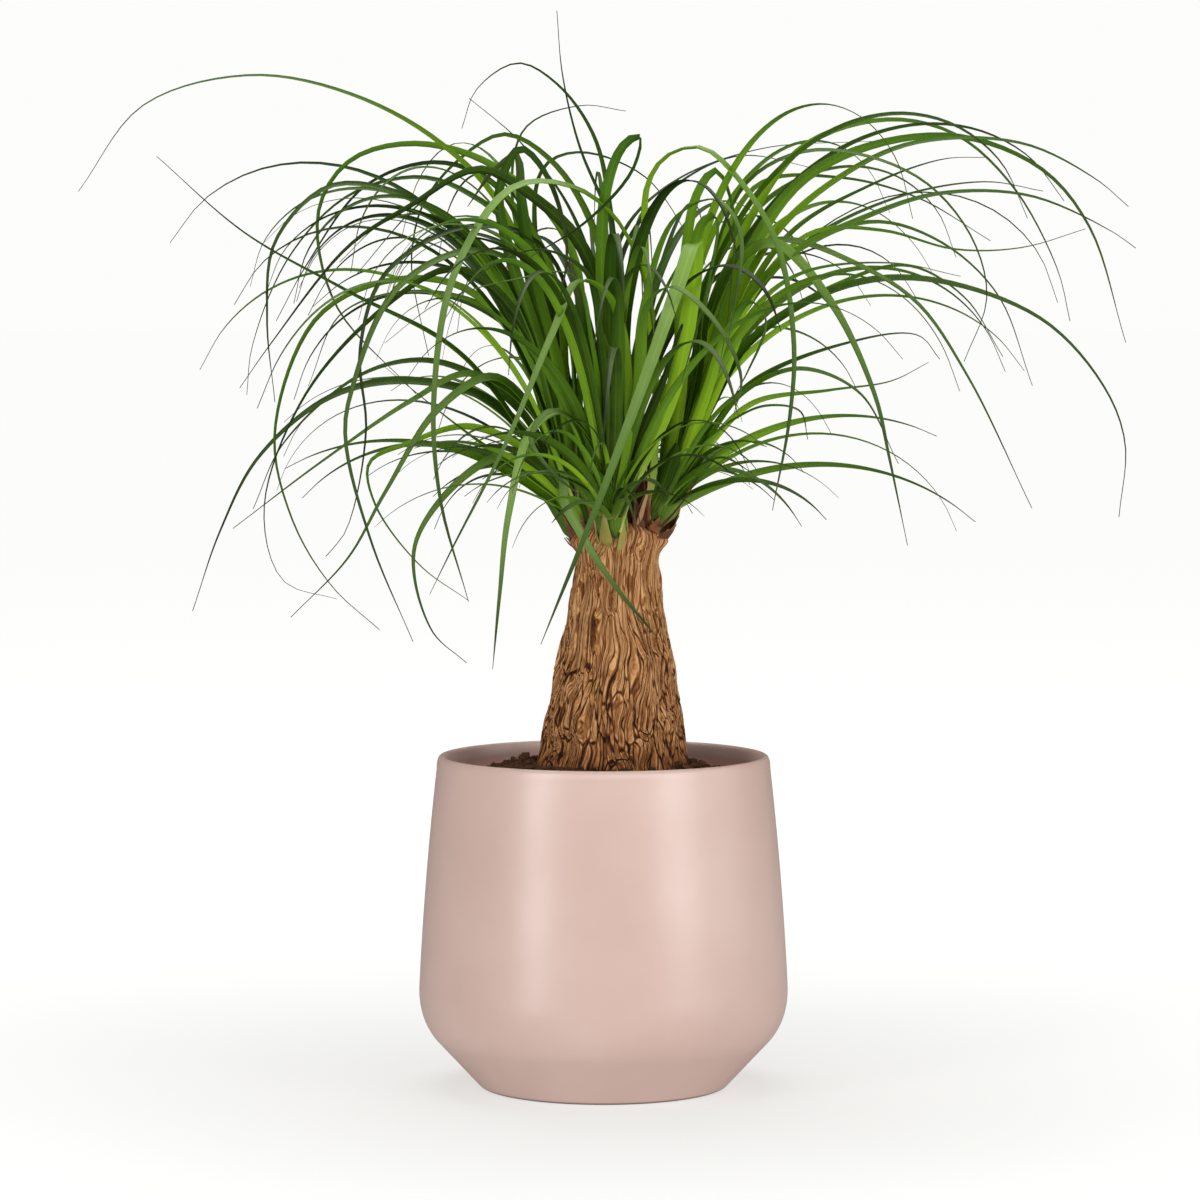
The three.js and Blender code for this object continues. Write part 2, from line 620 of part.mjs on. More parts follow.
// A blade: three-sided section, flat above and keeled below, carried along the curve without twisting
function bladeGeometry(leaf) {
  const { curve, width } = leaf;
  const stations = stationsOf(curve);
  const points = stations.map((u) => curve.getPointAt(u));
  const root = points[0];
  const middle = curve.getPointAt(0.5);
  const outward = new THREE.Vector3(middle.x - root.x, middle.y - root.y, 0).normalize();
  let across = new THREE.Vector3(-outward.y, outward.x, 0);
  const vertices = [];
  points.forEach((p, i) => {
    const ahead = points[Math.min(i + 1, points.length - 1)];
    const behind = points[Math.max(i - 1, 0)];
    const along = ahead.clone().sub(behind).normalize();
    across = across.clone().addScaledVector(along, -across.dot(along)).normalize();
    const up = along.clone().cross(across);
    const rolled = across.clone().applyAxisAngle(along, leaf.roll);
    const face = up.clone().applyAxisAngle(along, leaf.roll);
    const half = bladeWidth(width, stations[i]) / 2;
    const deep = Math.max(BLADE.thinnest, half * 2 * BLADE.thickness);
    const corners = [
      p.clone().addScaledVector(rolled, half).addScaledVector(face, deep / 2),
      p.clone().addScaledVector(rolled, -half).addScaledVector(face, deep / 2),
      p.clone().addScaledVector(face, -deep / 2),
    ];
    corners.forEach((c) => vertices.push(c.x, c.y, c.z));
  });
  return stripGeometry(vertices);
}

// The largest of a solid's bodies: loose scraps go, and a hollow that joining sealed is filled
function wholeBody(solid) {
  return solid.decompose().reduce((best, body) => (body.volume() > best.volume() ? body : best));
}

function headSolid(name, grown) {
  let solid = solidOf(coreGeometry(HEADS[name], 0));
  for (const leaf of grown.filter((g) => g.name === name)) {
    solid = solid.add(solidOf(bladeGeometry(leaf)));
  }
  return wholeBody(solid);
}

const grown = growLeaves();
const rolls = seededNumbers(SEED + 1);
for (const leaf of grown) {
  const tip = leaf.curve.getPointAt(0.6);
  const root = leaf.curve.getPointAt(0);
  const side = (tip.x - root.x) / Math.max(1, Math.hypot(tip.x - root.x, tip.y - root.y));
  const turn = rolls() < ROLL.downShare ? 1 : -1;
  const aside = side * turn * (ROLL.least + ROLL.spread * rolls());
  leaf.roll = radians(aside + (1 - Math.abs(side)) * ROLL.endOn * (rolls() - 0.5));
}

let trunk = solidOf(trunkGeometry());
for (const head of Object.values(HEADS)) {
  trunk = trunk.add(solidOf(knobGeometry(head)));
  for (let i = 0; i < KNOB.scales; i++) {
    trunk = trunk.add(solidOf(scaleGeometry(head, (2 * Math.PI * (i + KNOB.turn)) / KNOB.scales)));
  }
}
trunk = trunk.add(solidOf(bladeGeometry(grown.find((leaf) => leaf.name === "trunk"))));
for (const head of Object.values(HEADS)) trunk = trunk.subtract(solidOf(coreGeometry(head, GAP + 0.1)));
trunk = wholeBody(trunk);
const soil = wholeBody(solidOf(soilGeometry()).subtract(solidOf(buriedHole())));

const palm = new THREE.Group();
function addPiece(name, geometry, color, roughness) {
  const material = new THREE.MeshStandardMaterial({ color, roughness, metalness: 0 });
  const mesh = new THREE.Mesh(geometry, material);
  mesh.name = name;
  palm.add(mesh);
}
addPiece("pot", potGeometry(), 0xdcbcb1, 0.38);
addPiece("soil", geometryOf(soil), 0x342115, 0.95);
addPiece("trunk", geometryOf(trunk), 0x855a36, 0.85);
for (const name of Object.keys(HEADS)) {
  addPiece(name + "_head", geometryOf(headSolid(name, grown)), 0x46691f, 0.45);
}

export default palm;
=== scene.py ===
"""Looks of a potted ponytail palm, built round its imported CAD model.

A satin ceramic pot, granular soil, a swollen corky trunk with dry sheaths on its crown, and four heads of
long arching strap leaves. Lengths are millimetres until a mesh is made, and metres in Blender.
"""

import logging
import math
from dataclasses import dataclass, field
from enum import Enum
from functools import partial, reduce

import bpy
import numpy as np
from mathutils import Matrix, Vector


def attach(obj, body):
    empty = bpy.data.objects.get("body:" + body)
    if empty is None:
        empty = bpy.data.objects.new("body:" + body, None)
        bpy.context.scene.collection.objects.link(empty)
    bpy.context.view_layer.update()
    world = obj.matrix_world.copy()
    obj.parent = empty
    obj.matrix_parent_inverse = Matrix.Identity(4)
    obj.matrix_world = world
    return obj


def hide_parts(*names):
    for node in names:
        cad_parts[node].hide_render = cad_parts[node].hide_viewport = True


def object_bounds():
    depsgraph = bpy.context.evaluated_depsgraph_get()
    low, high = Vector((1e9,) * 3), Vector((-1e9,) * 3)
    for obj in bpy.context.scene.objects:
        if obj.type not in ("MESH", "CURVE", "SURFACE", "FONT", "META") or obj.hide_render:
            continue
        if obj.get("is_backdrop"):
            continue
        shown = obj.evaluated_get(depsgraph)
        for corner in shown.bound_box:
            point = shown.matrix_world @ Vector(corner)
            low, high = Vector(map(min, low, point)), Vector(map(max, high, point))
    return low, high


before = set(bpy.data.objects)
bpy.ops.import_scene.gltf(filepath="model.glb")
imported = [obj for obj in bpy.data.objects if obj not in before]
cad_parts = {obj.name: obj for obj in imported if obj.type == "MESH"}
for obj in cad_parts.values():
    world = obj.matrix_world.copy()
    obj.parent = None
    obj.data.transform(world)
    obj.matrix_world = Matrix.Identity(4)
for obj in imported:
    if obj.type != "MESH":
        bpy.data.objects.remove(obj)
CAD_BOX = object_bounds()

LOG = logging.getLogger("palm")
MM = 0.001
BODY = "root"
SEED = 20817
# Turn between one leaf base and the next, in radians, and the share of a span between one root and the next
GOLDEN_ANGLE = 2.39996
GOLDEN_SHARE = 0.618
NOISE_ROWS = 512

Array = np.ndarray
Color = tuple[float, float, float, float]
Socket = bpy.types.NodeSocket
Material = bpy.types.Material


class Slot(Enum):
    """The record's material slots."""

    GLAZE = "pot_glaze"
    SOIL = "soil"
    BARK = "bark"
    LEAF = "leaf"


def srgb(red: float, green: float, blue: float) -> Color:
    """Turns a colour of 0 to 255 as a screen shows it into linear light.

    Args:
        red, green, blue: the screen's values.
    Returns:
        Linear red, green, blue and an alpha of 1.
    """
    parts = [c / 255 for c in (red, green, blue)]
    linear = [c / 12.92 if c <= 0.04045 else ((c + 0.055) / 1.055) ** 2.4 for c in parts]
    return (*linear, 1.0)


def smoothstep(x: Array, low: float, high: float) -> Array:
    """Eases from 0 at low to 1 at high: 3t^2 - 2t^3 of the share t between them."""
    t = np.clip((np.asarray(x, float) - low) / (high - low), 0, 1)
    return t * t * (3 - 2 * t)


def unit(vectors: Array) -> Array:
    """Scales every vector along the last axis to length 1."""
    return vectors / np.maximum(np.linalg.norm(vectors, axis=-1, keepdims=True), 1e-12)


def lattice_noise(u: Array, v: Array, columns: int, seed: int) -> Array:
    """Smooth noise from 0 to 1 that wraps after a whole number of columns in u.

    Formula: a random value at each whole u and v, blended between the four nearest by smoothstep weights.

    Args:
        u, v: where to read it.
        columns: how many cells u has before it repeats.
        seed: which noise.
    Returns:
        The noise at each place.
    """
    table = np.random.default_rng(seed).random((NOISE_ROWS, columns))
    iu, iv = np.floor(u).astype(int), np.floor(v).astype(int)
    fu, fv = smoothstep(u - iu, 0, 1), smoothstep(v - iv, 0, 1)
    u0, u1 = iu % columns, (iu + 1) % columns
    v0, v1 = iv % NOISE_ROWS, (iv + 1) % NOISE_ROWS
    low = table[v0, u0] * (1 - fu) + table[v0, u1] * fu
    high = table[v1, u0] * (1 - fu) + table[v1, u1] * fu
    return low * (1 - fv) + high * fv


def cell_field(u: Array, v: Array, columns: int, seed: int) -> tuple[Array, Array]:
    """Cells of uneven plates that wrap in u.

    Formula: each whole cell holds one random point. The border measure is the distance to the second
    nearest point less that to the nearest, so it is 0 in the furrow between two plates.

    Args:
        u, v: where to read it.
        columns: how many cells u has before it repeats.
        seed: which cells.
    Returns:
        The border measure, and a random number from 0 to 1 for the plate at each place.
    """
    table = np.random.default_rng(seed).random((3, NOISE_ROWS, columns))
    iu, iv = np.floor(u).astype(int), np.floor(v).astype(int)
    first = np.full(u.shape, np.inf)
    second = np.full(u.shape, np.inf)
    mark = np.zeros(u.shape)
    for step_v in (-1, 0, 1):
        for step_u in (-1, 0, 1):
            cu, cv = iu + step_u, iv + step_v
            column, row = cu % columns, cv % NOISE_ROWS
            far = np.hypot(cu + table[0, row, column] - u, cv + table[1, row, column] - v)
            nearest = far < first
            second = np.where(nearest, first, np.minimum(second, far))
            mark = np.where(nearest, table[2, row, column], mark)
            first = np.where(nearest, far, first)
    return second - first, mark


def quadratic(start: tuple, control: tuple, end: tuple, steps: int) -> Array:
    """Points of a quadratic curve, its start left out.

    Formula: (1-t)^2 start + 2t(1-t) control + t^2 end.

    Args:
        start, control, end: the curve's two ends and the point that pulls it.
        steps: how many points it has.
    Returns:
        The points, at even steps of t.
    """
    t = np.linspace(0, 1, steps + 1)[1:, None]
    a, b, c = np.array(start), np.array(control), np.array(end)
    return (1 - t) ** 2 * a + 2 * t * (1 - t) * b + t**2 * c


def upright_rings(x: Array | float, radius: Array, turn: Array, z: Array | float) -> Array:
    """Points at a radius and a turn round an upright line at x, with x, y, z in the last axis."""
    return np.stack(np.broadcast_arrays(x + radius * np.cos(turn), radius * np.sin(turn), z), axis=-1)


@dataclass
class Mould:
    """Collects closed tubes, in millimetres, and turns them into one Blender object.

    A tube is a stack of rings. Seen from its far end a ring's points go anticlockwise, so that its faces
    point outwards, and a centre point closes each end.
    """

    points: list[Array] = field(default_factory=list)
    quads: list[Array] = field(default_factory=list)
    triangles: list[Array] = field(default_factory=list)
    values: dict[str, list[Array]] = field(default_factory=dict)
    count: int = 0

    def add(self, rings: Array, values: dict[str, Array] | None = None, ends: Array | None = None) -> None:
        """Adds tubes that all have the same numbers of rings and of points in a ring.

        Args:
            rings: tube, ring, point in the ring, and x, y, z.
            values: attribute numbers for each point, of a shape that spreads over tube, ring and point.
            ends: the two closing points of each tube, or None for the middles of its end rings.
        """
        tubes, rows, columns, _ = rings.shape
        if ends is None:
            ends = np.stack([rings[:, 0].mean(axis=1), rings[:, -1].mean(axis=1)], axis=1)
        body = rows * columns
        size = body + 2
        index = np.arange(body).reshape(rows, columns)
        beside = np.roll(index, -1, axis=1)
        quads = np.stack([index[:-1], beside[:-1], beside[1:], index[1:]], axis=-1).reshape(-1, 4)
        foot = np.stack([np.full(columns, body), beside[0], index[0]], axis=-1)
        head = np.stack([np.full(columns, body + 1), index[-1], beside[-1]], axis=-1)
        offsets = self.count + size * np.arange(tubes)[:, None, None]
        self.quads.append((quads[None] + offsets).reshape(-1, 4))
        self.triangles.append((np.concatenate([foot, head])[None] + offsets).reshape(-1, 3))
        flat = np.concatenate([rings.reshape(tubes, body, 3), ends], axis=1)
        self.points.append(flat.reshape(-1, 3))
        for name, value in (values or {}).items():
            full = np.broadcast_to(value, (tubes, rows, columns))
            first, last = full[:, 0].mean(axis=1), full[:, -1].mean(axis=1)
            joined = np.concatenate([full.reshape(tubes, body), first[:, None], last[:, None]], axis=1)
            self.values.setdefault(name, []).append(joined.ravel())
        self.count += tubes * size

    def cast(self, name: str, material: Material, nodes: list[str], crease: float) -> None:
        """Makes the object, dresses it, and puts it in the frame in the place of CAD nodes.

        Args:
            name: the piece's name.
            material: its finish.
            nodes: the CAD nodes that it stands for.
            crease: edges that turn more than this many degrees stay sharp.
        """
        mesh = bpy.data.meshes.new(name)
        faces = np.concatenate(self.quads).tolist() + np.concatenate(self.triangles).tolist()
        mesh.from_pydata((np.concatenate(self.points) * MM).tolist(), [], faces)
        for label, parts in self.values.items():
            layer = mesh.attributes.new(label, "FLOAT", "POINT")
            layer.data.foreach_set("value", np.concatenate(parts).astype(np.float32))
        mesh.validate()
        mesh.polygons.foreach_set("use_smooth", np.ones(len(mesh.polygons), bool))
        mesh.set_sharp_from_angle(angle=math.radians(crease))
        mesh.materials.append(material)
        piece = bpy.data.objects.new(name, mesh)
        bpy.context.scene.collection.objects.link(piece)
        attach(piece, BODY)
        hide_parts(*nodes)
        mesh.calc_loop_triangles()
        LOG.info("%s: %d triangles, stands for %s", name, len(mesh.loop_triangles), ", ".join(nodes))


class Shader:
    """A material's node tree, written as short calls that each return an output socket.

    An input of type object is another node's output, or a plain number, vector or colour.
    """

    def __init__(self, name: str) -> None:
        """Starts an empty material with one Principled surface.

        Args:
            name: the material's name.
        """
        self.material = bpy.data.materials.new(name)
        self.material.use_nodes = True
        self.tree = self.material.node_tree
        self.tree.nodes.clear()
        self.surface = self.node("BsdfPrincipled")
        self.node("OutputMaterial", Surface=self.surface.outputs["BSDF"])

    def put(self, socket: Socket, value: object) -> None:
        """Links a socket to an output, or sets it to a plain value.

        Args:
            socket: the input.
            value: what goes into it.
        """
        if isinstance(value, Socket):
            self.tree.links.new(value, socket)
        else:
            socket.default_value = value

    def node(self, kind: str, **inputs: object) -> bpy.types.Node:
        """Adds a shader node.

        Args:
            kind: its type, without the words that every shader node's type begins with.
            inputs: what goes into its inputs, by their names with _ for a space.
        Returns:
            The node.
        """
        node = self.tree.nodes.new("ShaderNode" + kind)
        for label, value in inputs.items():
            self.put(node.inputs[label.replace("_", " ")], value)
        return node

    def attribute(self, name: str) -> Socket:
        """Reads one of the piece's own point attributes.

        Args:
            name: the attribute's name.
        Returns:
            Its number.
        """
        node = self.node("Attribute")
        node.attribute_name = name
        return node.outputs["Fac"]

    def joined(self, x: str, y: str, z: str) -> Socket:
        """Three of the piece's own attributes as one vector."""
        numbers = {axis: self.attribute(name) for axis, name in zip("XYZ", (x, y, z))}
        return self.node("CombineXYZ", **numbers).outputs["Vector"]

    def place(self, *stretch: float) -> Socket:
        """Object coordinates, stretched by a factor along each axis where three factors are given."""
        source = self.node("TexCoord").outputs["Object"]
        return self.node("Mapping", Vector=source, Scale=stretch or (1, 1, 1)).outputs["Vector"]

    def noise(
        self, vector: Socket, scale: float, detail: float, rough: float = 0.5, warp: float = 0
    ) -> Socket:
        """Soft noise.

        Args:
            vector: where it is read.
            scale: cells in each unit of the vector.
            detail: how many finer layers it has.
            rough: how strong they are.
            warp: how far it is bent.
        Returns:
            The noise, from 0 to 1.
        """
        node = self.node("TexNoise", Vector=vector, Scale=scale, Detail=detail)
        self.put(node.inputs["Roughness"], rough)
        self.put(node.inputs["Distortion"], warp)
        return node.outputs["Fac"]

    def cracks(self, vector: Socket, scale: float) -> Socket:
        """Cracks between uneven cells.

        Args:
            vector: where they are read.
            scale: cells in each unit of the vector.
        Returns:
            The distance to the nearest border, 0 in a crack.
        """
        node = self.node("TexVoronoi", Vector=vector, Scale=scale)
        node.feature = "DISTANCE_TO_EDGE"
        return node.outputs["Distance"]

    def reckon(self, operation: str, a: object, b: object = 0.0) -> Socket:
        """One step of arithmetic.

        Args:
            operation: the Math node's name for it.
            a, b: its two numbers.
        Returns:
            The result.
        """
        node = self.node("Math")
        node.operation = operation
        self.put(node.inputs[0], a)
        self.put(node.inputs[1], b)
        return node.outputs[0]

    def add(self, *terms: object) -> Socket:
        """The sum of its terms."""
        return reduce(partial(self.reckon, "ADD"), terms)

    def multiply(self, *factors: object) -> Socket:
        """The product of its factors."""
        return reduce(partial(self.reckon, "MULTIPLY"), factors)

    def span(self, value: object, low: float, high: float, to_low: float = 0, to_high: float = 1) -> Socket:
        """Maps low to to_low and high to to_high, held at both ends."""
        limits = {"From_Min": low, "From_Max": high, "To_Min": to_low, "To_Max": to_high}
        return self.node("MapRange", Value=value, **limits).outputs["Result"]

    def ramp(self, factor: object, stops: tuple[tuple[float, Color], ...]) -> Socket:
        """A colour ramp.

        Args:
            factor: where it is read, from 0 to 1.
            stops: places on it and their colours.
        Returns:
            The colour.
        """
        node = self.node("ValToRGB", Fac=factor)
        elements = node.color_ramp.elements
        while len(elements) < len(stops):
            elements.new(0.5)
        for element, (place, color) in zip(elements, stops):
            element.position = place
            element.color = color
        return node.outputs["Color"]

    def blend(self, factor: object, a: object, b: object, mode: str = "MIX") -> Socket:
        """Mixes two colours.

        Args:
            factor: the share of b.
            a, b: the colours, which the Mix node takes as its inputs 6 and 7 and gives as its output 2.
            mode: how they are mixed.
        Returns:
            The mixed colour.
        """
        node = self.node("Mix", Factor=factor)
        node.data_type = "RGBA"
        node.blend_type = mode
        self.put(node.inputs[6], a)
        self.put(node.inputs[7], b)
        return node.outputs[2]

    def bump(self, height: Socket, strength: float, depth_mm: float) -> Socket:
        """Turns a height from 0 to 1 into tilted normals."""
        return self.node("Bump", Height=height, Strength=strength, Distance=depth_mm * MM).outputs["Normal"]

    def finish(
        self, color: object, roughness: object, gloss: float, normal: Socket | None = None
    ) -> Material:
        """Joins colour, roughness, gloss and normal to the surface.

        Args:
            color, roughness: outputs or plain values.
            gloss: how much it mirrors, where 0.5 is usual.
            normal: tilted normals, or None for plain ones.
        Returns:
            The finished material.
        """
        values = {"Base Color": color, "Roughness": roughness, "Specular IOR Level": gloss, "Normal": normal}
        for label, value in values.items():
            if value is not None:
                self.put(self.surface.inputs[label], value)
        return self.material


@dataclass(frozen=True)
class GlazeFinish:
    """Satin old-rose glaze: even colour, the faintest clouding, and an orange-peel surface.

    The scales of its clouds, specks and peel are cells in a metre.
    """

    light: Color = srgb(216, 186, 175)
    deep: Color = srgb(210, 178, 167)
    # Painted contact shadow: the dark line where the foot meets the floor
    contact_shadow: Color = srgb(120, 88, 80)
    # Painted light: the inside of the pot is drawn lighter and pinker, standing in for light bounced off its
    # walls and lifting it out of the crown's shade
    inside_painted_light: Color = srgb(250, 194, 182)
    roughness: float = 0.34
    gloss: float = 0.95
    foot_mm: float = 1.7
    cloud_scale: float = 14
    speck_scale: float = 900
    peel_scale: float = 260

    def material(self) -> Material:
        """Makes the material: clouded glaze, a painted contact shadow at the foot's edge, and painted light
        inside the pot.

        Returns:
            The finished material.
        """
        shader = Shader("satin_rose_glaze")
        place = shader.place()
        cloud = shader.noise(place, self.cloud_scale, 3)
        color = shader.blend(shader.span(cloud, 0.35, 0.65), self.light, self.deep)
        speck = shader.noise(place, self.speck_scale, 2)
        color = shader.blend(shader.span(speck, 0.62, 0.75, 0, 0.25), color, self.deep)
        height = shader.attribute("height_mm")
        # Painted contact shadow: the glaze darkens over the lowest 1.7 mm of the foot, and is fully dark
        # below 0.4 mm
        color = shader.blend(shader.span(height, 0.4, self.foot_mm, 1, 0), color, self.contact_shadow)
        # Painted light inside the pot: a lighter, pinker colour on the inside walls and floor
        color = shader.blend(shader.attribute("inside_painted_light"), color, self.inside_painted_light)
        roughness = shader.span(cloud, 0.3, 0.7, self.roughness - 0.03, self.roughness + 0.04)
        normal = shader.bump(shader.noise(place, self.peel_scale, 2), 0.08, 0.25)
        return shader.finish(color, roughness, self.gloss, normal)


@dataclass(frozen=True)
class SoilFinish:
    """Damp dark potting soil with paler fibre specks. Its scales are cells in a metre."""

    dark: Color = srgb(50, 30, 18)
    mid: Color = srgb(100, 64, 40)
    fibre: Color = srgb(140, 100, 64)
    roughness: float = 0.93
    gloss: float = 0.25
    grain_scale: float = 420
    fibre_scale: float = 650

    def material(self) -> Material:
        """Makes the material: grains of two tones, and specks that are stretched level.

        Returns:
            The finished material.
        """
        shader = Shader("potting_soil")
        grain = shader.noise(shader.place(), self.grain_scale, 6, 0.7)
        color = shader.blend(shader.span(grain, 0.35, 0.7), self.dark, self.mid)
        speck = shader.noise(shader.place(1, 1, 2.5), self.fibre_scale, 3, 0.6, 1.2)
        color = shader.blend(shader.span(speck, 0.64, 0.72, 0, 0.8), color, self.fibre)
        return shader.finish(color, self.roughness, self.gloss, shader.bump(grain, 0.8, 0.9))


@dataclass(frozen=True)
class BarkFinish:
    """Corky bark: dark furrows, warm brown plates with pale worn tops and fine upright grain.

    The scales of its grain and its broad clouds are cells in a metre, and finer is how much closer the
    hairline cracks stand than the open ones.
    """

    furrow: Color = srgb(48, 22, 8)
    low: Color = srgb(122, 72, 34)
    mid: Color = srgb(164, 110, 64)
    worn: Color = srgb(216, 166, 114)
    roughness: float = 0.85
    gloss: float = 0.2
    grain_scale: float = 620
    broad_scale: float = 60
    finer: float = 2.2

    def material(self) -> Material:
        """Makes the material: colour follows the relief attribute, broken up by cracks and upright grain,
        with a painted highlight along the edges of the open cracks.

        Returns:
            The finished material.
        """
        shader = Shader("corky_bark")
        wrapped = shader.joined("bark_x", "bark_y", "bark_z")
        edge = shader.cracks(wrapped, 1.0)
        crack = shader.reckon("MAXIMUM", shader.span(edge, 0.012, 0.09), shader.attribute("smooth"))
        # Painted highlight: lip is a thin light rim along each open crack's edge, added to the colour's
        # height
        lip = shader.multiply(shader.span(edge, 0.06, 0.1), shader.span(edge, 0.1, 0.24, 1, 0))
        hairline = shader.span(shader.cracks(wrapped, self.finer), 0.0, 0.13)
        grain = shader.noise(shader.place(1, 1, 0.12), self.grain_scale, 5, 0.62, 0.4)
        broad = shader.noise(shader.place(1, 1, 0.5), self.broad_scale, 4)
        depth = shader.multiply(crack, 0.5)
        depth = shader.add(depth, shader.multiply(hairline, 0.2), shader.multiply(lip, 0.2))
        streaks = shader.span(grain, 0.25, 0.75, -0.14, 0.14)
        clouds = shader.span(broad, 0.3, 0.7, -0.08, 0.08)
        height = shader.add(shader.attribute("relief"), -0.67, depth, streaks, clouds)
        color = shader.ramp(height, ((0.1, self.furrow), (0.4, self.low), (0.66, self.mid), (1.0, self.worn)))
        normal = shader.bump(shader.add(depth, shader.multiply(grain, 0.3)), 0.85, 1.3)
        return shader.finish(color, self.roughness, self.gloss, normal)


@dataclass(frozen=True)
class SheathFinish:
    """Dry leaf bases: papery reddish brown with long fibres, paler and curling at their tips.

    The fibres' scale is cells in a metre, and ribs is how fast the ribs follow each other across.
    """

    deep: Color = srgb(66, 32, 18)
    mid: Color = srgb(150, 90, 56)
    tip: Color = srgb(214, 186, 136)
    fresh: Color = srgb(158, 152, 70)
    roughness: float = 0.7
    gloss: float = 0.3
    fibre_scale: float = 700
    ribs: float = 22

    def material(self) -> Material:
        """Makes the material: tone picks the base colour, fresh greens it, along fades it to the tip.

        Returns:
            The finished material.
        """
        shader = Shader("dry_sheath")
        fibre = shader.noise(shader.place(1, 1, 0.15), self.fibre_scale, 4, 0.6)
        shade = shader.add(shader.attribute("tone"), shader.span(fibre, 0.3, 0.7, -0.2, 0.2))
        color = shader.blend(shade, self.deep, self.mid)
        color = shader.blend(shader.attribute("fresh"), color, self.fresh)
        color = shader.blend(shader.span(shader.attribute("along"), 0.45, 1, 0, 0.85), color, self.tip)
        rib = shader.reckon("SINE", shader.multiply(shader.attribute("across"), self.ribs))
        normal = shader.bump(shader.add(fibre, shader.multiply(rib, 0.25)), 0.5, 0.4)
        return shader.finish(color, self.roughness, self.gloss, normal)


@dataclass(frozen=True)
class LeafFinish:
    """Strap leaf: green above with a light midrib and fine parallel veins, and greyer underneath.

    It is yellow-green at its root and runs out to a dry brown hair. Its stops are shares of the leaf's
    length with a screen's colours, veins is how fast the veins follow each other across, and its roughness
    is that of the underside and that of the upper face.
    """

    upper: tuple = ((0, (160, 166, 84)), (0.05, (88, 124, 26)), (0.18, (70, 110, 12)), (0.42, (64, 99, 12)),
                    (0.7, (47, 78, 10)), (0.93, (30, 52, 16)), (1, (66, 64, 40)))
    under: tuple = ((0, (172, 180, 104)), (0.1, (94, 132, 36)), (0.35, (88, 128, 26)), (0.7, (58, 94, 18)),
                    (1, (74, 72, 46)))
    # Painted light: a yellow-green glow that stands in for light shining through the lighter leaves near
    # their roots
    painted_glow: Color = srgb(150, 182, 10)
    # Painted sheen: the pale grey-green that stands in for the lights' reflection on upper faces turned up
    # and outwards
    sheen: Color = srgb(142, 170, 98)
    veins: float = 30
    cloud_scale: float = 45
    roughness: tuple = (0.6, 0.46)
    gloss: float = 0.12

    def material(self) -> Material:
        """Makes the material from the blade's own attributes: along, across, upper, tone and open.

        Returns:
            The finished material.
        """
        shader = Shader("strap_leaf")
        along, across = shader.attribute("along"), shader.attribute("across")
        tone, upper = shader.attribute("tone"), shader.attribute("upper")
        sides = [tuple((place, srgb(*color)) for place, color in stops) for stops in (self.under, self.upper)]
        color = shader.blend(upper, *(shader.ramp(along, stops) for stops in sides))
        # Painted light: the lighter leaves glow yellow-green over their lower parts, as if lit through from
        # behind
        glow = shader.multiply(
            shader.span(tone, 0.6, 1, 0, 0.5),
            shader.span(along, 0.15, 0.65, 1, 0),
            shader.span(along, 0.03, 0.22, 0.2, 1),
        )
        color = shader.blend(glow, color, self.painted_glow)
        # Painted sheen: upper faces that turn up and outwards are drawn paler, most on dark leaves, fading
        # towards the tips
        sheen_share = shader.multiply(
            shader.attribute("open"),
            shader.span(tone, 0, 1, 0.85, 0.5),
            shader.span(along, 0.55, 0.9, 1, 0.15),
            upper,
        )
        color = shader.blend(sheen_share, color, self.sheen)
        cloud = shader.noise(shader.place(), self.cloud_scale, 3)
        wave = shader.add(shader.multiply(across, self.veins), shader.multiply(cloud, 2.0))
        vein = shader.reckon("SINE", wave)
        bright = shader.add(
            shader.span(tone, 0, 1, 0.27, 1.47),
            shader.multiply(vein, 0.14),
            # Painted shade: across * 0.14 makes one half of each blade lighter than the other, as a fold
            # turned to the light shows
            shader.multiply(across, 0.14),
            shader.span(shader.reckon("ABSOLUTE", across), 0.02, 0.16, 0.26, 0),
            shader.span(cloud, 0.3, 0.7, -0.08, 0.08),
        )
        color = shader.blend(1.0, color, bright, "MULTIPLY")
        roughness = shader.span(upper, 0, 1, *self.roughness)
        normal = shader.bump(shader.span(vein, -1, 1), 0.12, 0.12)
        return shader.finish(color, roughness, self.gloss, normal)


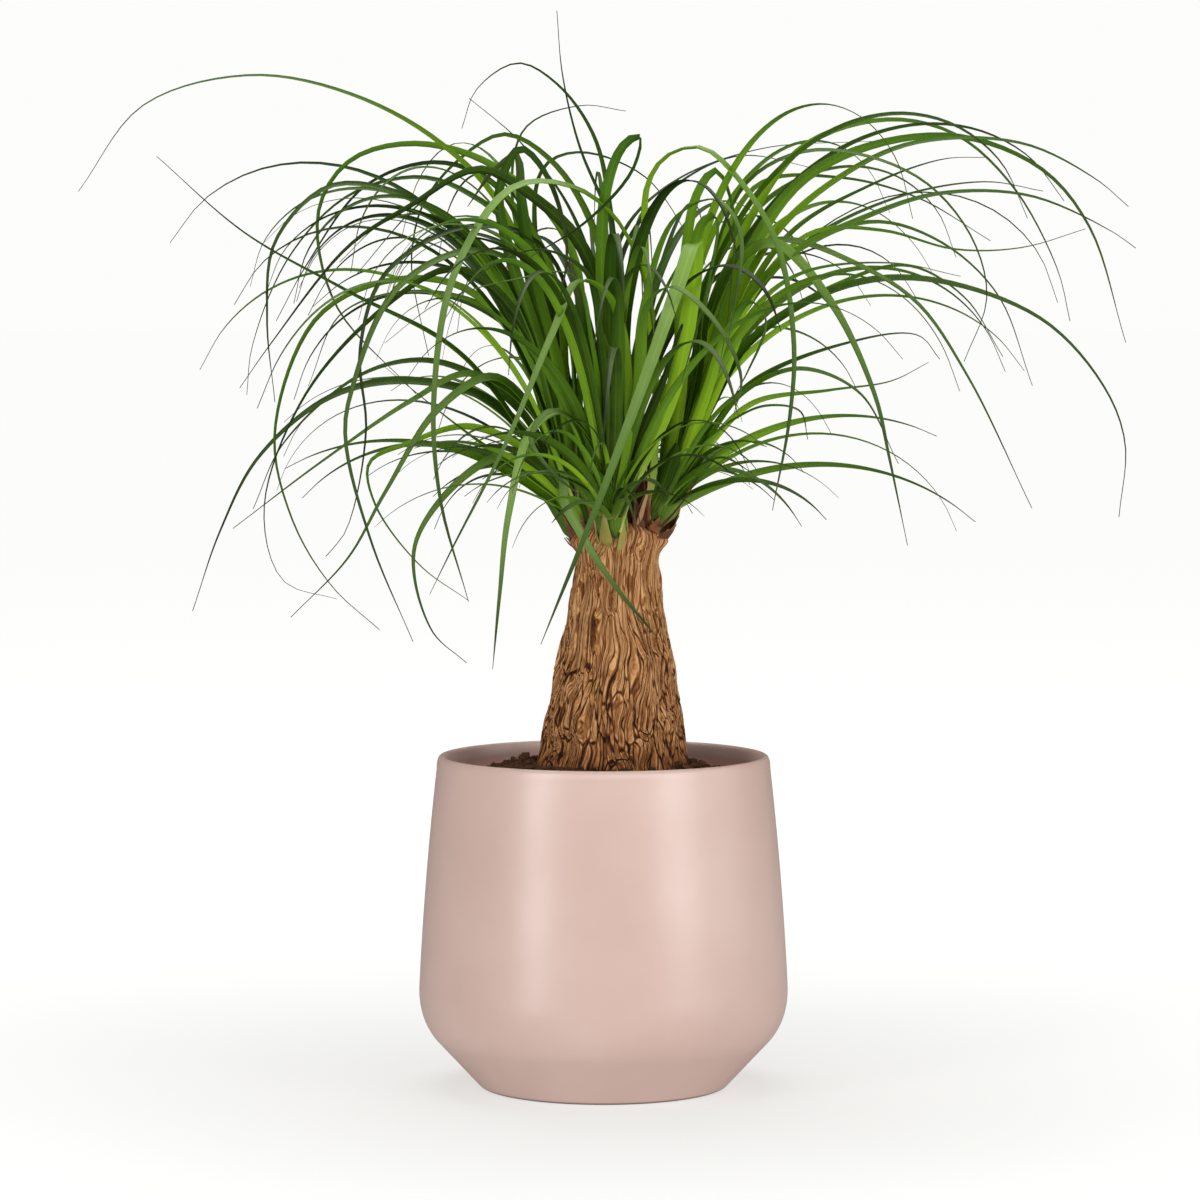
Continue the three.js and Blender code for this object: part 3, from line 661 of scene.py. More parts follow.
@dataclass
class CeramicPot:
    """The planter: narrow foot, sloped cone, soft shoulder, walls that lean in, thick rounded lip."""

    height: float = 180
    foot_radius: float = 66.5
    cone_radius: float = 89
    cone_height: float = 24
    belly_radius: float = 100
    belly_height: float = 53
    mid_radius: float = 96.2
    mid_height: float = 112
    lip_radius: float = 90.3
    lip_height: float = 173
    wall: float = 5.5
    base_plate: float = 9
    edge: float = 1.6
    # How much thicker the wall is along the cone
    slack: float = 1.5
    sides: int = 224
    crease: float = 30
    # Inner rings of the underside, and how many rings the cone, the inside wall and the inside floor have
    underside: tuple = ((20, 0), (45, 0))
    cone_rows: int = 8
    inside_rows: int = 39
    floor_rows: int = 6

    def inside_radius(self, z: Array) -> Array:
        """Radius of the inside: straight lines between the wall's stations.

        Args:
            z: height.
        Returns:
            The radius there.
        """
        heights = [self.base_plate, self.cone_height, self.belly_height, self.mid_height, self.lip_height]
        foot = self.foot_radius - self.slack
        cone = self.cone_radius - self.wall - self.slack
        radii = [foot, cone, *(r - self.wall for r in (self.belly_radius, self.mid_radius, self.lip_radius))]
        return np.interp(z, heights, radii)

    def outline(self) -> Array:
        """Radius and height pairs from the foot's centre up the outside, over the lip and down inside.

        Formula: a quadratic edge, a straight cone, quadratics for the shoulder, the wall and the lip's two
        halves, then the inside's straight lines, which end on its floor.

        Returns:
            The pairs.
        """
        foot_edge = (self.foot_radius - self.edge, 0)
        cone_start = (self.foot_radius + self.edge, self.edge)
        cone_end = (self.cone_radius, self.cone_height)
        belly = (self.belly_radius, self.belly_height)
        shoulder = (self.belly_radius, self.cone_height + self.belly_radius - self.cone_radius)
        lip = (self.lip_radius, self.lip_height)
        bulge = (2 * self.mid_radius - (self.belly_radius + self.lip_radius) / 2, self.mid_height)
        crest = (self.lip_radius - self.wall / 2, self.height)
        inner = (self.lip_radius - self.wall, self.lip_height)
        down = np.linspace(self.lip_height, self.base_plate, self.inside_rows + 1)[1:]
        floor = np.linspace(self.foot_radius - self.slack, 0, self.floor_rows + 2)[1:-1]
        return np.vstack([
            [*self.underside, foot_edge],
            quadratic(foot_edge, (self.foot_radius, 0), cone_start, 6),
            np.linspace(cone_start, cone_end, self.cone_rows + 1)[1:],
            quadratic(cone_end, shoulder, belly, 18),
            quadratic(belly, bulge, lip, 40),
            quadratic(lip, (self.lip_radius, self.height), crest, 9),
            quadratic(crest, (inner[0], self.height), inner, 9),
            np.stack([self.inside_radius(down), down], axis=1),
            np.stack([floor, np.full(len(floor), self.base_plate)], axis=1),
        ])

    def build(self) -> None:
        """Turns the outline about +Z into one closed piece."""
        profile = self.outline()
        turn = np.linspace(0, 2 * math.pi, self.sides, endpoint=False)
        rings = upright_rings(0.0, profile[:, :1], turn, profile[:, 1:])
        ends = np.array([[[0, 0, 0], [0, 0, self.base_plate]]], float)
        steps = np.arange(len(profile))[None, :, None]
        # The inside rings, which the finish paints lighter
        inside_painted_light = (steps >= len(profile) - self.inside_rows - self.floor_rows).astype(float)
        mould = Mould()
        mould.add(rings[None], {"height_mm": rings[None, :, :, 2], "inside_painted_light": inside_painted_light}, ends)
        mould.cast("glazed_pot", GlazeFinish().material(), ["pot"], self.crease)


@dataclass
class CorkyTrunk:
    """The swollen trunk: a long cone from the soil to a narrow waist and a swollen crown, in corky bark."""

    soil_line: float = 176
    # The buried end is coarse up to the height where the fine rows start
    buried_end: float = 131
    buried_rows: int = 7
    fine_start: float = 164
    top: float = 309
    end_bulge: float = 0.4
    axis_x: float = 5.1
    lean: float = 0.023
    sides: int = 400
    rows: int = 236
    relief_end: float = 300
    ridges: int = 12
    ridge_depth: float = 2.1
    plates_round: int = 64
    fibres_round: int = 150
    grain_round: int = 236
    cracks_round: int = 80
    crease: float = 180
    profile: tuple = ((131, 3), (134, 24), (146, 38), (160, 41.6), (174, 41), (189, 38.4), (198, 37),
                      (215.5, 33.9), (233, 30.6), (250, 27), (267, 23.9), (284.5, 21.6), (291, 22.4),
                      (297, 23.6), (302, 22), (306, 15), (309, 4))
    # Knots that the bark flows round: angle in degrees, height, and their spread
    knots: tuple = ((-58, 290, 3.2), (-93, 232, 3.4), (-70, 230, 3.0), (-154, 234, 2.4), (-118, 196, 2.6))
    # The seeded knots: how many there are, their lowest numbers, and their highest
    more_knots: tuple = (16, (-180, 182, 1.6), (180, 288, 3.2))
    knot_rings_mm: float = 1.7
    # Swellings on the crown: angle in degrees, height, how far they stand out, and their spread
    swellings: tuple = ((-14, 296, 4.0, 3.4), (197, 295, 3.2, 3.0), (-70, 300, 1.2, 5), (95, 297, 2.4, 5),
                        (30, 295, 1.6, 4), (150, 298, 1.8, 4.5))

    def radius(self, z: Array) -> Array:
        """Radius at a height, by straight lines through the profile."""
        heights, radii = np.array(self.profile, float).T
        return np.interp(z, heights, radii)

    def centre(self, z: Array) -> Array:
        """x of the trunk's middle at a height, along its slight lean."""
        return self.axis_x + self.lean * (np.asarray(z) - self.soil_line)

    def smooth_radius(self, z: Array) -> Array:
        """The radius with the profile's corners eased.

        Formula: a mean of the radii at 9 heights up to 3.5 mm below and above, weighted by a bell curve.

        Args:
            z: height.
        Returns:
            The radius there.
        """
        steps = np.linspace(-3.5, 3.5, 9)
        weight = np.exp(-((steps / 2.2) ** 2))
        spread = self.radius(np.asarray(z)[..., None] + steps)
        eased = (spread * weight).sum(axis=-1) / weight.sum()
        return np.where(np.asarray(z) < self.top - 4, eased, np.minimum(eased, self.radius(z) + 1))

    def ridge_relief(self, angle: Array, z: Array) -> Array:
        """The broad upright ridges, as the solid has them.

        Formula: a cosine of 12 ridges round the trunk, bent by slow sines of the height, times a plate
        factor that swells and shrinks along each ridge. It fades out at the soil and at the crown.

        Args:
            angle: angle round the trunk.
            z: height.
        Returns:
            How far the ridges stand out.
        """
        low = smoothstep(z, self.soil_line, self.soil_line + 8)
        high = 1 - smoothstep(z, self.relief_end - 25, self.relief_end)
        wander = 0.9 * np.sin(z / 19 + 2 * angle) + 0.5 * np.sin(z / 8 - 3 * angle)
        ridge = np.cos(self.ridges * angle + wander)
        plates = 0.75 + 0.45 * np.sin(z / 5.5 + 4 * np.sin(self.ridges * 0.5 * angle + 1))
        return low * high * self.ridge_depth * (ridge * plates * 0.6 - 0.3)

    def knot_field(self, arc: Array, z: Array) -> tuple[Array, Array]:
        """Where knots part the bark.

        Formula: by each knot the bark is drawn apart by 0.8 of the distance from the knot's middle, times
        a bell curve that is twice as tall as it is wide, and rings stand round it 1.7 mm apart.

        Args:
            arc: share of a turn round the trunk.
            z: height.
        Returns:
            How far the bark is drawn round, as a share of a turn, and the rings from -1 to 1.
        """
        random = np.random.default_rng(SEED + 30)
        count, low, high = self.more_knots
        seeded = np.stack([random.uniform(*limits, count) for limits in zip(low, high)], axis=1)
        drawn, rings = 0 * arc, 0 * arc
        for degrees, height, spread in np.concatenate([np.array(self.knots, float), seeded]):
            off = (arc - degrees / 360 + 0.5) % 1 - 0.5
            wide = off * 2 * math.pi * self.radius(height)
            near = np.exp(-(wide**2 + ((z - height) / 2) ** 2) / (2 * spread**2))
            drawn = drawn - 0.8 * off * near
            far = np.hypot(wide, (z - height) / 1.6)
            rings = rings + np.cos(2 * math.pi * far / self.knot_rings_mm) * near**2
        return drawn, rings

    def bark_relief(self, angle: Array, z: Array) -> tuple[Array, dict[str, Array]]:
        """Corky plates, furrows and grain on top of the ridges.

        Formula: cells stretched upright, short near the soil and long near the crown, whose places are
        bent by noise. A furrow is cut where the border measure falls to 0. Finer cells and a fine upright
        noise are added.

        Args:
            angle: angle round the trunk.
            z: height.
        Returns:
            How far the bark stands out in millimetres, and its attributes: the relief from 0 in a furrow
            to 1 on top, and a place on a roll of the same cells, for the shader's cracks.
        """
        arc = (angle / (2 * math.pi)) % 1
        rise = smoothstep(z, self.soil_line + 10, self.top - 30)
        length = 15 + 26 * rise
        cells = np.diff(z[:, 0]) / (0.5 * (length[1:, 0] + length[:-1, 0]))
        tall = np.concatenate([[0], np.cumsum(cells)])[:, None] + 40
        slow = lattice_noise(arc * 7, z / 26 + 3, 7, 11) - 0.5
        quick = lattice_noise(arc * 22, z / 11, 22, 12) - 0.5
        drawn, rings = self.knot_field(arc, z)
        count = self.plates_round
        bend = 2.6 * slow + 1.5 * quick + drawn * count
        border, mark = cell_field(arc * count + bend, tall + 0.7 * quick, count, 13)
        plate = smoothstep(border, 0.0, 0.2)
        count = self.fibres_round
        border_fine, mark_fine = cell_field(arc * count + 2.1 * bend, tall * 1.35 + quick, count, 14)
        fibre = smoothstep(border_fine, 0.0, 0.34)
        count = self.grain_round
        grain = lattice_noise(arc * count + 2.8 * bend, tall * 2.4, count, 15)
        deep = 1.35 - 0.7 * rise
        smooth = 0.45 * smoothstep(z, 230, 285)
        out = -0.75 * deep * (1 - plate) * (1 - 0.6 * smooth) + (mark - 0.5) * (0.8 - 0.4 * rise)
        out = out - (0.34 - 0.1 * rise) * (1 - fibre) + (mark_fine - 0.5) * 0.2 + (grain - 0.5) * 0.3
        out = out + 0.35 * rings
        plate = np.maximum(plate, smooth)
        tone = 0.26 * plate + 0.12 * fibre + 0.12 * (mark - 0.5) + 0.1 * mark_fine + 0.1 * grain
        # Towards the crown the bark is paler: partly its own colour, and partly painted light that offsets
        # the crown's shade. Just above the soil it is darker
        tone = tone + 0.26 + 0.12 * rise + 0.12 * rings - 0.16 * (1 - smoothstep(z, self.soil_line, 192))
        fade = smoothstep(z, self.soil_line - 12, self.soil_line - 4)
        fade = fade * (1 - 0.5 * smoothstep(z, self.relief_end + 1, self.top))
        roll = self.cracks_round / (2 * math.pi)
        turned = 2 * math.pi * (arc + bend / self.plates_round)
        values = {
            "relief": np.clip(tone, 0, 1),
            "smooth": smooth,
            "bark_x": roll * np.cos(turned),
            "bark_y": roll * np.sin(turned),
            "bark_z": tall * 0.95 + 1.3 * quick,
        }
        return out * fade + 0.5, values

    def build(self) -> None:
        """Makes the bark surface, closed at its buried end and at the crown."""
        buried = np.linspace(self.buried_end, self.fine_start, self.buried_rows, endpoint=False)
        z = np.concatenate([buried, np.linspace(self.fine_start, self.top, self.rows)])[:, None]
        angle = np.linspace(-math.pi, math.pi, self.sides, endpoint=False)[None]
        z, angle = np.broadcast_arrays(z, angle)
        bark, values = self.bark_relief(angle, z)
        radius = self.smooth_radius(z) + self.ridge_relief(angle, z)
        for degrees, height, out, spread in self.swellings:
            turn = np.angle(np.exp(1j * (angle - math.radians(degrees))))
            near = np.exp(-((turn * radius) ** 2 + (z - height) ** 2) / (2 * spread**2))
            radius = radius + out * near
        radius = radius + bark * smoothstep(radius, 2, 14)
        rings = upright_rings(self.centre(z), radius, angle, z)
        caps = ((self.buried_end, -self.end_bulge), (self.top, self.end_bulge))
        ends = np.array([[[self.centre(height), 0, height + bulge] for height, bulge in caps]])
        mould = Mould()
        mould.add(rings[None], {name: value[None] for name, value in values.items()}, ends)
        mould.cast("trunk_bark", BarkFinish().material(), ["trunk"], self.crease)


@dataclass
class SoilBed:
    """The soil in the pot: a plug with a crumbly lumpy top, a plain hole for the trunk, and loose crumbs."""

    pot: CeramicPot
    trunk: CorkyTrunk
    floor_gap: float = 0.3
    wall_height: float = 165
    clearance: float = 0.5
    lump: float = 0.78
    sink: float = 0.7
    sides: int = 300
    rows: int = 54
    crease: float = 60
    mound: tuple = ((42, 174.6), (52, 174), (62, 171), (73, 168), (79, 166))
    hole_clearance: float = 0.6
    # Heights of the hole's mouth, of its upper and lower rings, and of its rounded end
    hole_mouth: float = 172
    hole_ends: tuple = (170, 133)
    hole_rows: int = 7
    hole_floor: float = 130
    # Two sizes of clods: cell size, the pattern's shift and seed, the border that is rounded off, and the
    # least height of a clod and what the highest has on top of it
    clods: tuple = ((5.2, 300, 21, 0.6, 0.6, 1.4), (2.1, 700, 22, 0.7, 0.3, 0.7))
    # Cells in a row of their patterns, more than the pot is wide, so that they never repeat
    clod_columns: int = 4096
    # The crumbs: how many, how near and far from the trunk's axis, how large, and how far from the wall
    crumbs: int = 420
    crumb_field: tuple = (44.5, 80)
    crumb_sizes: tuple = (0.9, 2.6)
    crumb_wall_gap: float = 3.2
    crumb_height: float = 168
    crumb_levels: tuple = (-58, -20, 20, 58)
    crumb_sides: int = 6
    crumb_crease: float = 25

    def hole_radius(self, z: Array) -> Array:
        """Radius of the trunk's hole: the buried profile with its clearance."""
        return self.trunk.radius(np.asarray(z) + self.hole_clearance) + self.hole_clearance

    def surface(self, x: Array, y: Array) -> Array:
        """Height of the crumbly top over x and y.

        Formula: the mound's straight lines over the distance from the axis, plus slow sine lumps, plus
        two sizes of rounded cells.

        Args:
            x, y: where to read it.
        Returns:
            The height there.
        """
        away = np.hypot(x, y)
        radii, heights = np.array(self.mound, float).T
        wave = np.sin(x * 0.31 + y * 0.17) + np.sin(y * 0.37 - x * 0.11) * np.cos(x * 0.23)
        height = np.interp(away, radii, heights) + self.lump * wave - self.sink
        for size, shift, seed, ease, low, more in self.clods:
            border, mark = cell_field(x / size + shift, y / size + shift, self.clod_columns, seed)
            height = height + smoothstep(border, 0, ease) * (low + more * mark)
        return height

    def build(self) -> None:
        """Makes the plug and the crumbs."""
        turn = np.linspace(0, 2 * math.pi, self.sides, endpoint=False)[None]
        pot, axis_x = self.pot, self.trunk.axis_x
        floor = pot.base_plate + self.floor_gap
        stations = (floor, pot.cone_height, pot.belly_height, pot.mid_height, self.wall_height)
        walls = np.array(stations)[:, None]
        outer = pot.inside_radius(walls) - self.clearance
        side = upright_rings(0.0, outer, turn, walls)
        edge = float(outer[-1, 0]) - 0.3
        share = np.linspace(0, 1, self.rows)[1:, None]
        radius = edge + (float(self.hole_radius(self.hole_mouth)) - edge) * share
        top = upright_rings(axis_x * share, radius, turn, self.wall_height)
        top[..., 2] += (self.surface(top[..., 0], top[..., 1]) - top[..., 2]) * smoothstep(share, 0, 0.06)
        depth = np.linspace(*self.hole_ends, self.hole_rows)[:, None]
        well = upright_rings(axis_x, self.hole_radius(depth), turn, depth)
        rings = np.concatenate([side, top, well])
        ends = np.array([[[0, 0, floor], [axis_x, 0, self.hole_floor]]])
        mould = Mould()
        mould.add(rings[None], None, ends)
        material = SoilFinish().material()
        mould.cast("soil_bed", material, ["soil"], self.crease)
        self.scatter(material)

    def scatter(self, material: bpy.types.Material) -> None:
        """Strews small uneven crumbs over the top, thicker towards the trunk.

        Formula: a crumb is a squashed ball of four rings of six points, each point pushed in or out by a
        random share. Its share of the way from the inner to the outer edge is a random one to the power of
        1.5, and it shrinks on the way.

        Args:
            material: the soil's finish.
        """
        random = np.random.default_rng(SEED)
        count = self.crumbs
        turn = random.uniform(0, 2 * math.pi, count)
        inner, outer = self.crumb_field
        share = random.random(count) ** 1.5
        away = inner + (outer - inner) * share
        size = random.uniform(*self.crumb_sizes, count) * (1.15 - 0.5 * share)
        x, y = away * np.cos(turn) + self.trunk.axis_x * 0.8, away * np.sin(turn)
        limit = self.pot.inside_radius(self.crumb_height) - self.crumb_wall_gap
        x, y = np.stack([x, y]) * np.minimum(1, limit / np.hypot(x, y))
        z = self.surface(x, y) + size * 0.25
        level = np.radians(self.crumb_levels)[None, :, None]
        spin = np.linspace(0, 2 * math.pi, self.crumb_sides, endpoint=False)[None, None]
        pushes = random.uniform(0.65, 1.3, (count, len(self.crumb_levels), self.crumb_sides))
        push = size[:, None, None] * pushes
        flat = random.uniform(0.5, 0.9, count)[:, None, None]
        long = random.uniform(0.8, 1.5, count)[:, None, None]
        px, py = push * np.cos(level) * np.cos(spin) * long, push * np.cos(level) * np.sin(spin)
        heading = random.uniform(0, 2 * math.pi, count)[:, None, None]
        rings = np.stack([
            x[:, None, None] + px * np.cos(heading) - py * np.sin(heading),
            y[:, None, None] + px * np.sin(heading) + py * np.cos(heading),
            z[:, None, None] + push * np.sin(level) * flat,
        ], -1)
        middle = np.stack([x, y, z], -1)
        lift = (size * flat[:, 0, 0])[:, None] * np.array([[0, 0, 1.0]])
        mould = Mould()
        mould.add(rings, None, np.stack([middle - lift, middle + lift], axis=1))
        mould.cast("soil_crumbs", material, ["soil"], self.crumb_crease)


class SeededNumbers:
    """Numbers that are the same in every run, drawn as numpy's generators draw theirs.

    Formula: state = 1664525 state + 1013904223, modulo 2^32, and the number is its share of 2^32.
    """

    def __init__(self, seed: int) -> None:
        """Starts from a seed."""
        self.state = seed

    def random(self) -> float:
        """The next number from 0 to 1."""
        self.state = (self.state * 1664525 + 1013904223) % 2**32
        return self.state / 2**32

    def uniform(self, low: float, high: float) -> float:
        """The next number, spread between two limits."""
        return low + (high - low) * self.random()


Numbers = SeededNumbers | np.random.Generator


@dataclass(frozen=True)
class Head:
    """One head of leaves."""

    name: str
    seat: tuple[float, float, float]
    lean: tuple[float, float]
    # The sector that its seeded leaves fill: its middle and half of its width, in degrees
    azimuth: float
    spread: float
    seeded: int
    # A factor of the seeded leaves' lengths
    reach: float
    hairs: int
    sheaths: int
    # Where its leaf bases start above the seat, and how slim they wrap the core
    foot: float
    slim: float
    # A low power makes most of its leaves light, and open_sheen is how strong the painted sheen is on those
    # turned outwards
    tone_power: float = 1.1
    open_sheen: float = 0.5
    sheath_green: float = 0.0
    sheath_width: float = 1.0

    @property
    def node(self) -> str:
        """The CAD node that the head stands for."""
        return self.name + "_head"

    def axis(self) -> Array:
        """The core's direction."""
        return unit(np.array([*self.lean, 1.0]))

    def point(self, up: float) -> Array:
        """The core's middle at a distance above the seat."""
        return np.array(self.seat, float) + self.axis() * up

    def root(self, rise: float, x: float, y: float, inset: float) -> Array:
        """A leaf's root: inside the core, on the side that the leaf leaves it.

        Args:
            rise: how far above the seat it starts.
            x, y: where the leaf goes.
            inset: how far from the core's middle it starts.
        Returns:
            The point.
        """
        root = self.point(rise)
        out = np.array([x - root[0], y - root[1], 0])
        return root + out * inset / max(inset, float(np.linalg.norm(out)))


@dataclass
class Leaf:
    """One grown leaf: its curve's points, greatest width, roll about its own line, tone and firmness.

    Lengths along it are read from a table of chords.
    """

    head: str
    knots: Array
    width: float
    roll: float = 0.0
    tone: float = 0.5
    firm: float = 0.0
    chords: int = 200

    def at(self, shares: Array) -> Array:
        """Points at shares of the leaf's length.

        Formula: a centripetal Catmull-Rom curve, whose span between two knots takes the fourth root of
        their squared distance as its time, read by equal lengths.

        Args:
            shares: shares of the length, from 0 to 1.
        Returns:
            The points.
        """
        times = np.linspace(0, 1, self.chords + 1)
        table = self.curve(times)
        lengths = np.concatenate([[0], np.cumsum(np.linalg.norm(np.diff(table, axis=0), axis=1))])
        return self.curve(np.interp(np.asarray(shares) * lengths[-1], lengths, times))

    def curve(self, times: Array) -> Array:
        """Points of the curve, with both ends carried on in a straight line.

        Args:
            times: times from 0 to 1, with as much time for each span.
        Returns:
            The points.
        """
        knots = self.knots
        padded = np.vstack([2 * knots[0] - knots[1], knots, 2 * knots[-1] - knots[-2]])
        place = times * (len(knots) - 1)
        index = np.minimum(place.astype(int), len(knots) - 2)
        w = (place - index)[:, None]
        p0, p1, p2, p3 = (padded[index + k] for k in range(4))
        spans = ((p0, p1), (p1, p2), (p2, p3))
        d0, d1, d2 = (((b - a) ** 2).sum(axis=1, keepdims=True) ** 0.25 for a, b in spans)
        t1 = ((p1 - p0) / d0 - (p2 - p0) / (d0 + d1) + (p2 - p1) / d1) * d1
        t2 = ((p2 - p1) / d1 - (p3 - p1) / (d1 + d2) + (p3 - p2) / d2) * d1
        return p1 + w * (t1 + w * ((-3 * p1 + 3 * p2 - 2 * t1 - t2) + w * (2 * p1 - 2 * p2 + t1 + t2)))


def blade_width(width: Array, share: Array) -> Array:
    """The solids' width: a narrow root, full width at a sixth of the length, then a long taper."""
    root = 0.55 + 0.45 * np.minimum(1, share / 0.16)
    return np.maximum(1.1, width * root * (1 - share) ** 0.6)


def strap_width(width: Array, share: Array, firm: Array) -> Array:
    """The shown width: a broad foot, then a taper to a hair.

    Formula: a leaf narrows early and then runs out long and thin, as 0.66 (1 - u)^1.8 + 0.34 (1 - u^4). A
    firm one stays broad and then tapers fast, as (1 - u^3.2)^0.85. Leaves between are blended.

    Args:
        width: the leaf's greatest width.
        share: share of its length.
        firm: how much of the firm form it has, from 0 to 1.
    Returns:
        The width there.
    """
    thin = 0.66 * (1 - share) ** 1.8 + 0.34 * (1 - share**4)
    taper = (1 - firm) * thin + firm * (1 - share**3.2) ** 0.85
    foot = 1.1 - 0.1 * np.minimum(1, share / 0.14)
    broad = 1 + 0.5 * (1 - 0.5 * firm) * smoothstep(share, 0.05, 0.3) * (1 - smoothstep(share, 0.35, 0.8))
    return np.maximum(0.38, 0.95 * width * foot * broad * taper)


def carry_along(paths: Array, start: Array) -> tuple[Array, Array]:
    """Directions across and above paths, carried along them without twisting.

    Formula: at each station the direction across is the last one less its part along the path, made 1
    long, and the direction above is the cross product of along and across.

    Args:
        paths: path, station, and x, y, z.
        start: each path's first direction across.
    Returns:
        The directions across and above at each station.
    """
    ahead = np.concatenate([paths[:, 1:], paths[:, -1:]], axis=1)
    behind = np.concatenate([paths[:, :1], paths[:, :-1]], axis=1)
    along = unit(ahead - behind)
    across = np.empty_like(along)
    carried = start
    for i in range(paths.shape[1]):
        here = along[:, i]
        carried = unit(carried - (carried * here).sum(axis=1, keepdims=True) * here)
        across[:, i] = carried
    return across, np.cross(along, across)


@dataclass
class LeafCrown:
    """The four heads of leaves, grown by the same rule and seed as the solids."""

    trunk: CorkyTrunk
    eye_distance: float = 2575
    eye_height: float = 418.6
    core_radius: float = 9.2
    # A core's form: distances above its seat with shares of its radius, then its tip's distance and radius
    core_form: tuple = ((-9, 0.62), (-2, 0.95), (6, 1), (16, 0.86), (27, 0.55))
    core_tip: tuple = (34, 0.5)
    # The distances above a seat where other heads' leaves are kept clear of the core
    core_heights: tuple = (0, 8, 16, 24)
    root_inset: float = 4.5
    # A blade's stations, its places across from +1 to -1, and its thickness
    blade_form: tuple = (58, (1, 0.55, 0, -0.55, -1), 0.5)
    hair_form: tuple = (34, (1, 0, -1), 0.35)
    scale_form: tuple = (24, (1, 2 / 3, 1 / 3, 0, -1 / 3, -2 / 3, -1), 0.7)
    blade_crease: float = 50
    base_crease: float = 60
    heads: tuple = (
        Head("left", (-9, 3, 300), (-0.42, 0.06), 180, 66, 16, 1, 16, 12, -5, 1),
        Head("front", (5, -18, 296), (-0.05, -0.3), 268, 50, 14, 0.8, 22, 5, -1, 0.74,
             open_sheen=1.0, sheath_green=0.85),
        # Painted light: the right head's low tone power draws most of its leaves lighter, as light falls
        # stronger on that side
        Head("right", (24, -3, 301), (0.5, -0.08), 0, 62, 14, 1, 8, 14, 3, 1,
             tone_power=0.34, sheath_width=1.5),
        Head("back", (6, 19, 298), (0, 0.34), 92, 66, 24, 0.82, 24, 14, -7, 1),
    )
    # Kinds of seeded leaves: limits of launch and tip angle from the vertical, length and width, and bend
    kinds: tuple = (
        ((4, 16), (150, 178), (300, 390), (5, 7.5), 2.1),
        ((14, 34), (130, 165), (270, 380), (4.5, 6.5), 1.5),
        ((34, 62), (105, 140), (110, 190), (4.5, 6), 1.2),
    )
    # Limits of how far above the seat a leaf starts, how far it turns sideways, and how it rolls
    listed_rises: tuple = (6, 22)
    seeded_rises: tuple = (4, 22)
    sweeps: tuple = (-15, 15)
    side_rolls: tuple = (38, 64)
    ahead_rolls: tuple = (-15, 15)
    # The same for hairs, which spread over a wider sector
    hair_rises: tuple = (8, 24)
    hair_sweeps: tuple = (-30, 30)
    hair_rolls: tuple = (-50, 50)
    hair_sector: float = 1.15
    # A hair keeps inside the solids' box, clear of the trunk, and out of the space before the crown, which
    # is given as its depth, its top, its middle and half its width
    hair_box_gap: float = 2
    hair_trunk_gap: float = 6
    bare_front: tuple = (-25, 300, 8, 42)
    hair_kinds: tuple = (
        ((6, 24), (140, 176), (250, 380), (3.4, 5.6), 2.0),
        ((24, 46), (122, 164), (130, 220), (1.8, 3), 1.4),
        ((36, 60), (115, 150), (80, 140), (2.2, 3.6), 1.2),
    )
    # How far to the left and right of the pot's axis a seeded leaf may show in the front view
    reach_left: float = 222
    reach_right: float = 255
    # Under the crown's line a leaf keeps clear of the trunk. The gaps are between surfaces, and least_apart
    # is the least distance between the middles of two heads' leaves
    crown_line: float = 290
    trunk_gap: float = 3
    core_gap: float = 0.6
    leaf_gap: float = 1
    least_apart: float = 4.5
    places_tested: int = 64
    shifts: tuple = (0, -9, 9, -18, 18, -27, 27, -38, 38, -50, 50, -65, 65)
    turns: tuple = (0, 4, -4, 8, -8, 12, -12, 17, -17)
    # Listed leaves that fold over near the middle of the crown and stay broad to near their tips
    straps: tuple = (("left", 20), ("left", 21), ("front", 7), ("front", 12), ("right", 2), ("right", 3))
    strap_firmness: float = 0.85
    # Leaves whose tips hang before the crown are firm too: how much, how far before it that sets in, the
    # middle of their field, and how far from it that fades
    front_firmness: float = 0.9
    front_depths: tuple = (40, 90)
    front_middle: float = 5
    front_reaches: tuple = (80, 120)
    # How much the lightest and the darkest leaves twist apart towards their tips, in radians
    tip_twist: float = 0.9
    dry_scale: tuple = ((16, -9.5, 300), (17.5, -11, 316), (19, -13, 330), (18, -16, 341))
    dry_scale_width: float = 7
    crown_middle: tuple = (8.3, 0, 299)
    crown_radius: float = 21
    shown_scale: tuple = ((19, -11, 300), (22, -14, 314), (24.5, -17, 327), (23, -19, 338), (25.5, -20, 342))
    crown_scales: int = 64
    # Dry scales that stand in the gap between the front and right heads
    gap_scales: tuple = (((19, -2, 298), (20.5, -2, 318), (22.5, -2, 334), (21.5, -3, 350)),
                         ((22, 3, 300), (24, 3, 320), (25.5, 2, 336), (27, 1, 347)),
                         ((15, 4, 300), (17, 4, 322), (18, 4, 340), (20, 3, 354)))
    gap_scale_width: float = 11
    dry_needle: tuple = ((31, -14, 304), (38, -18, 312), (45, -21, 321.5), (50.5, -24, 331.5))
    dry_needle_width: float = 2.6
    # Bases in a green bulb, the stations and places across of each wrapped base, and the distance above the
    # seat from where a base no longer follows the core's taper
    bulb_bases: int = 9
    wrap_stations: int = 22
    wrap_places: int = 9
    taper_end: float = 24
    leaves: list[Leaf] = field(default_factory=list)
    taken: dict[str, list[Array]] = field(default_factory=dict)

    def seen_at(self, x: Array, y: Array, z: Array) -> Array:
        """The point at depth y that the front view shows at x and z of the axis plane."""
        nearness = 1 + y / self.eye_distance
        return np.stack([x * nearness, y, self.eye_height + (z - self.eye_height) * nearness], axis=-1)

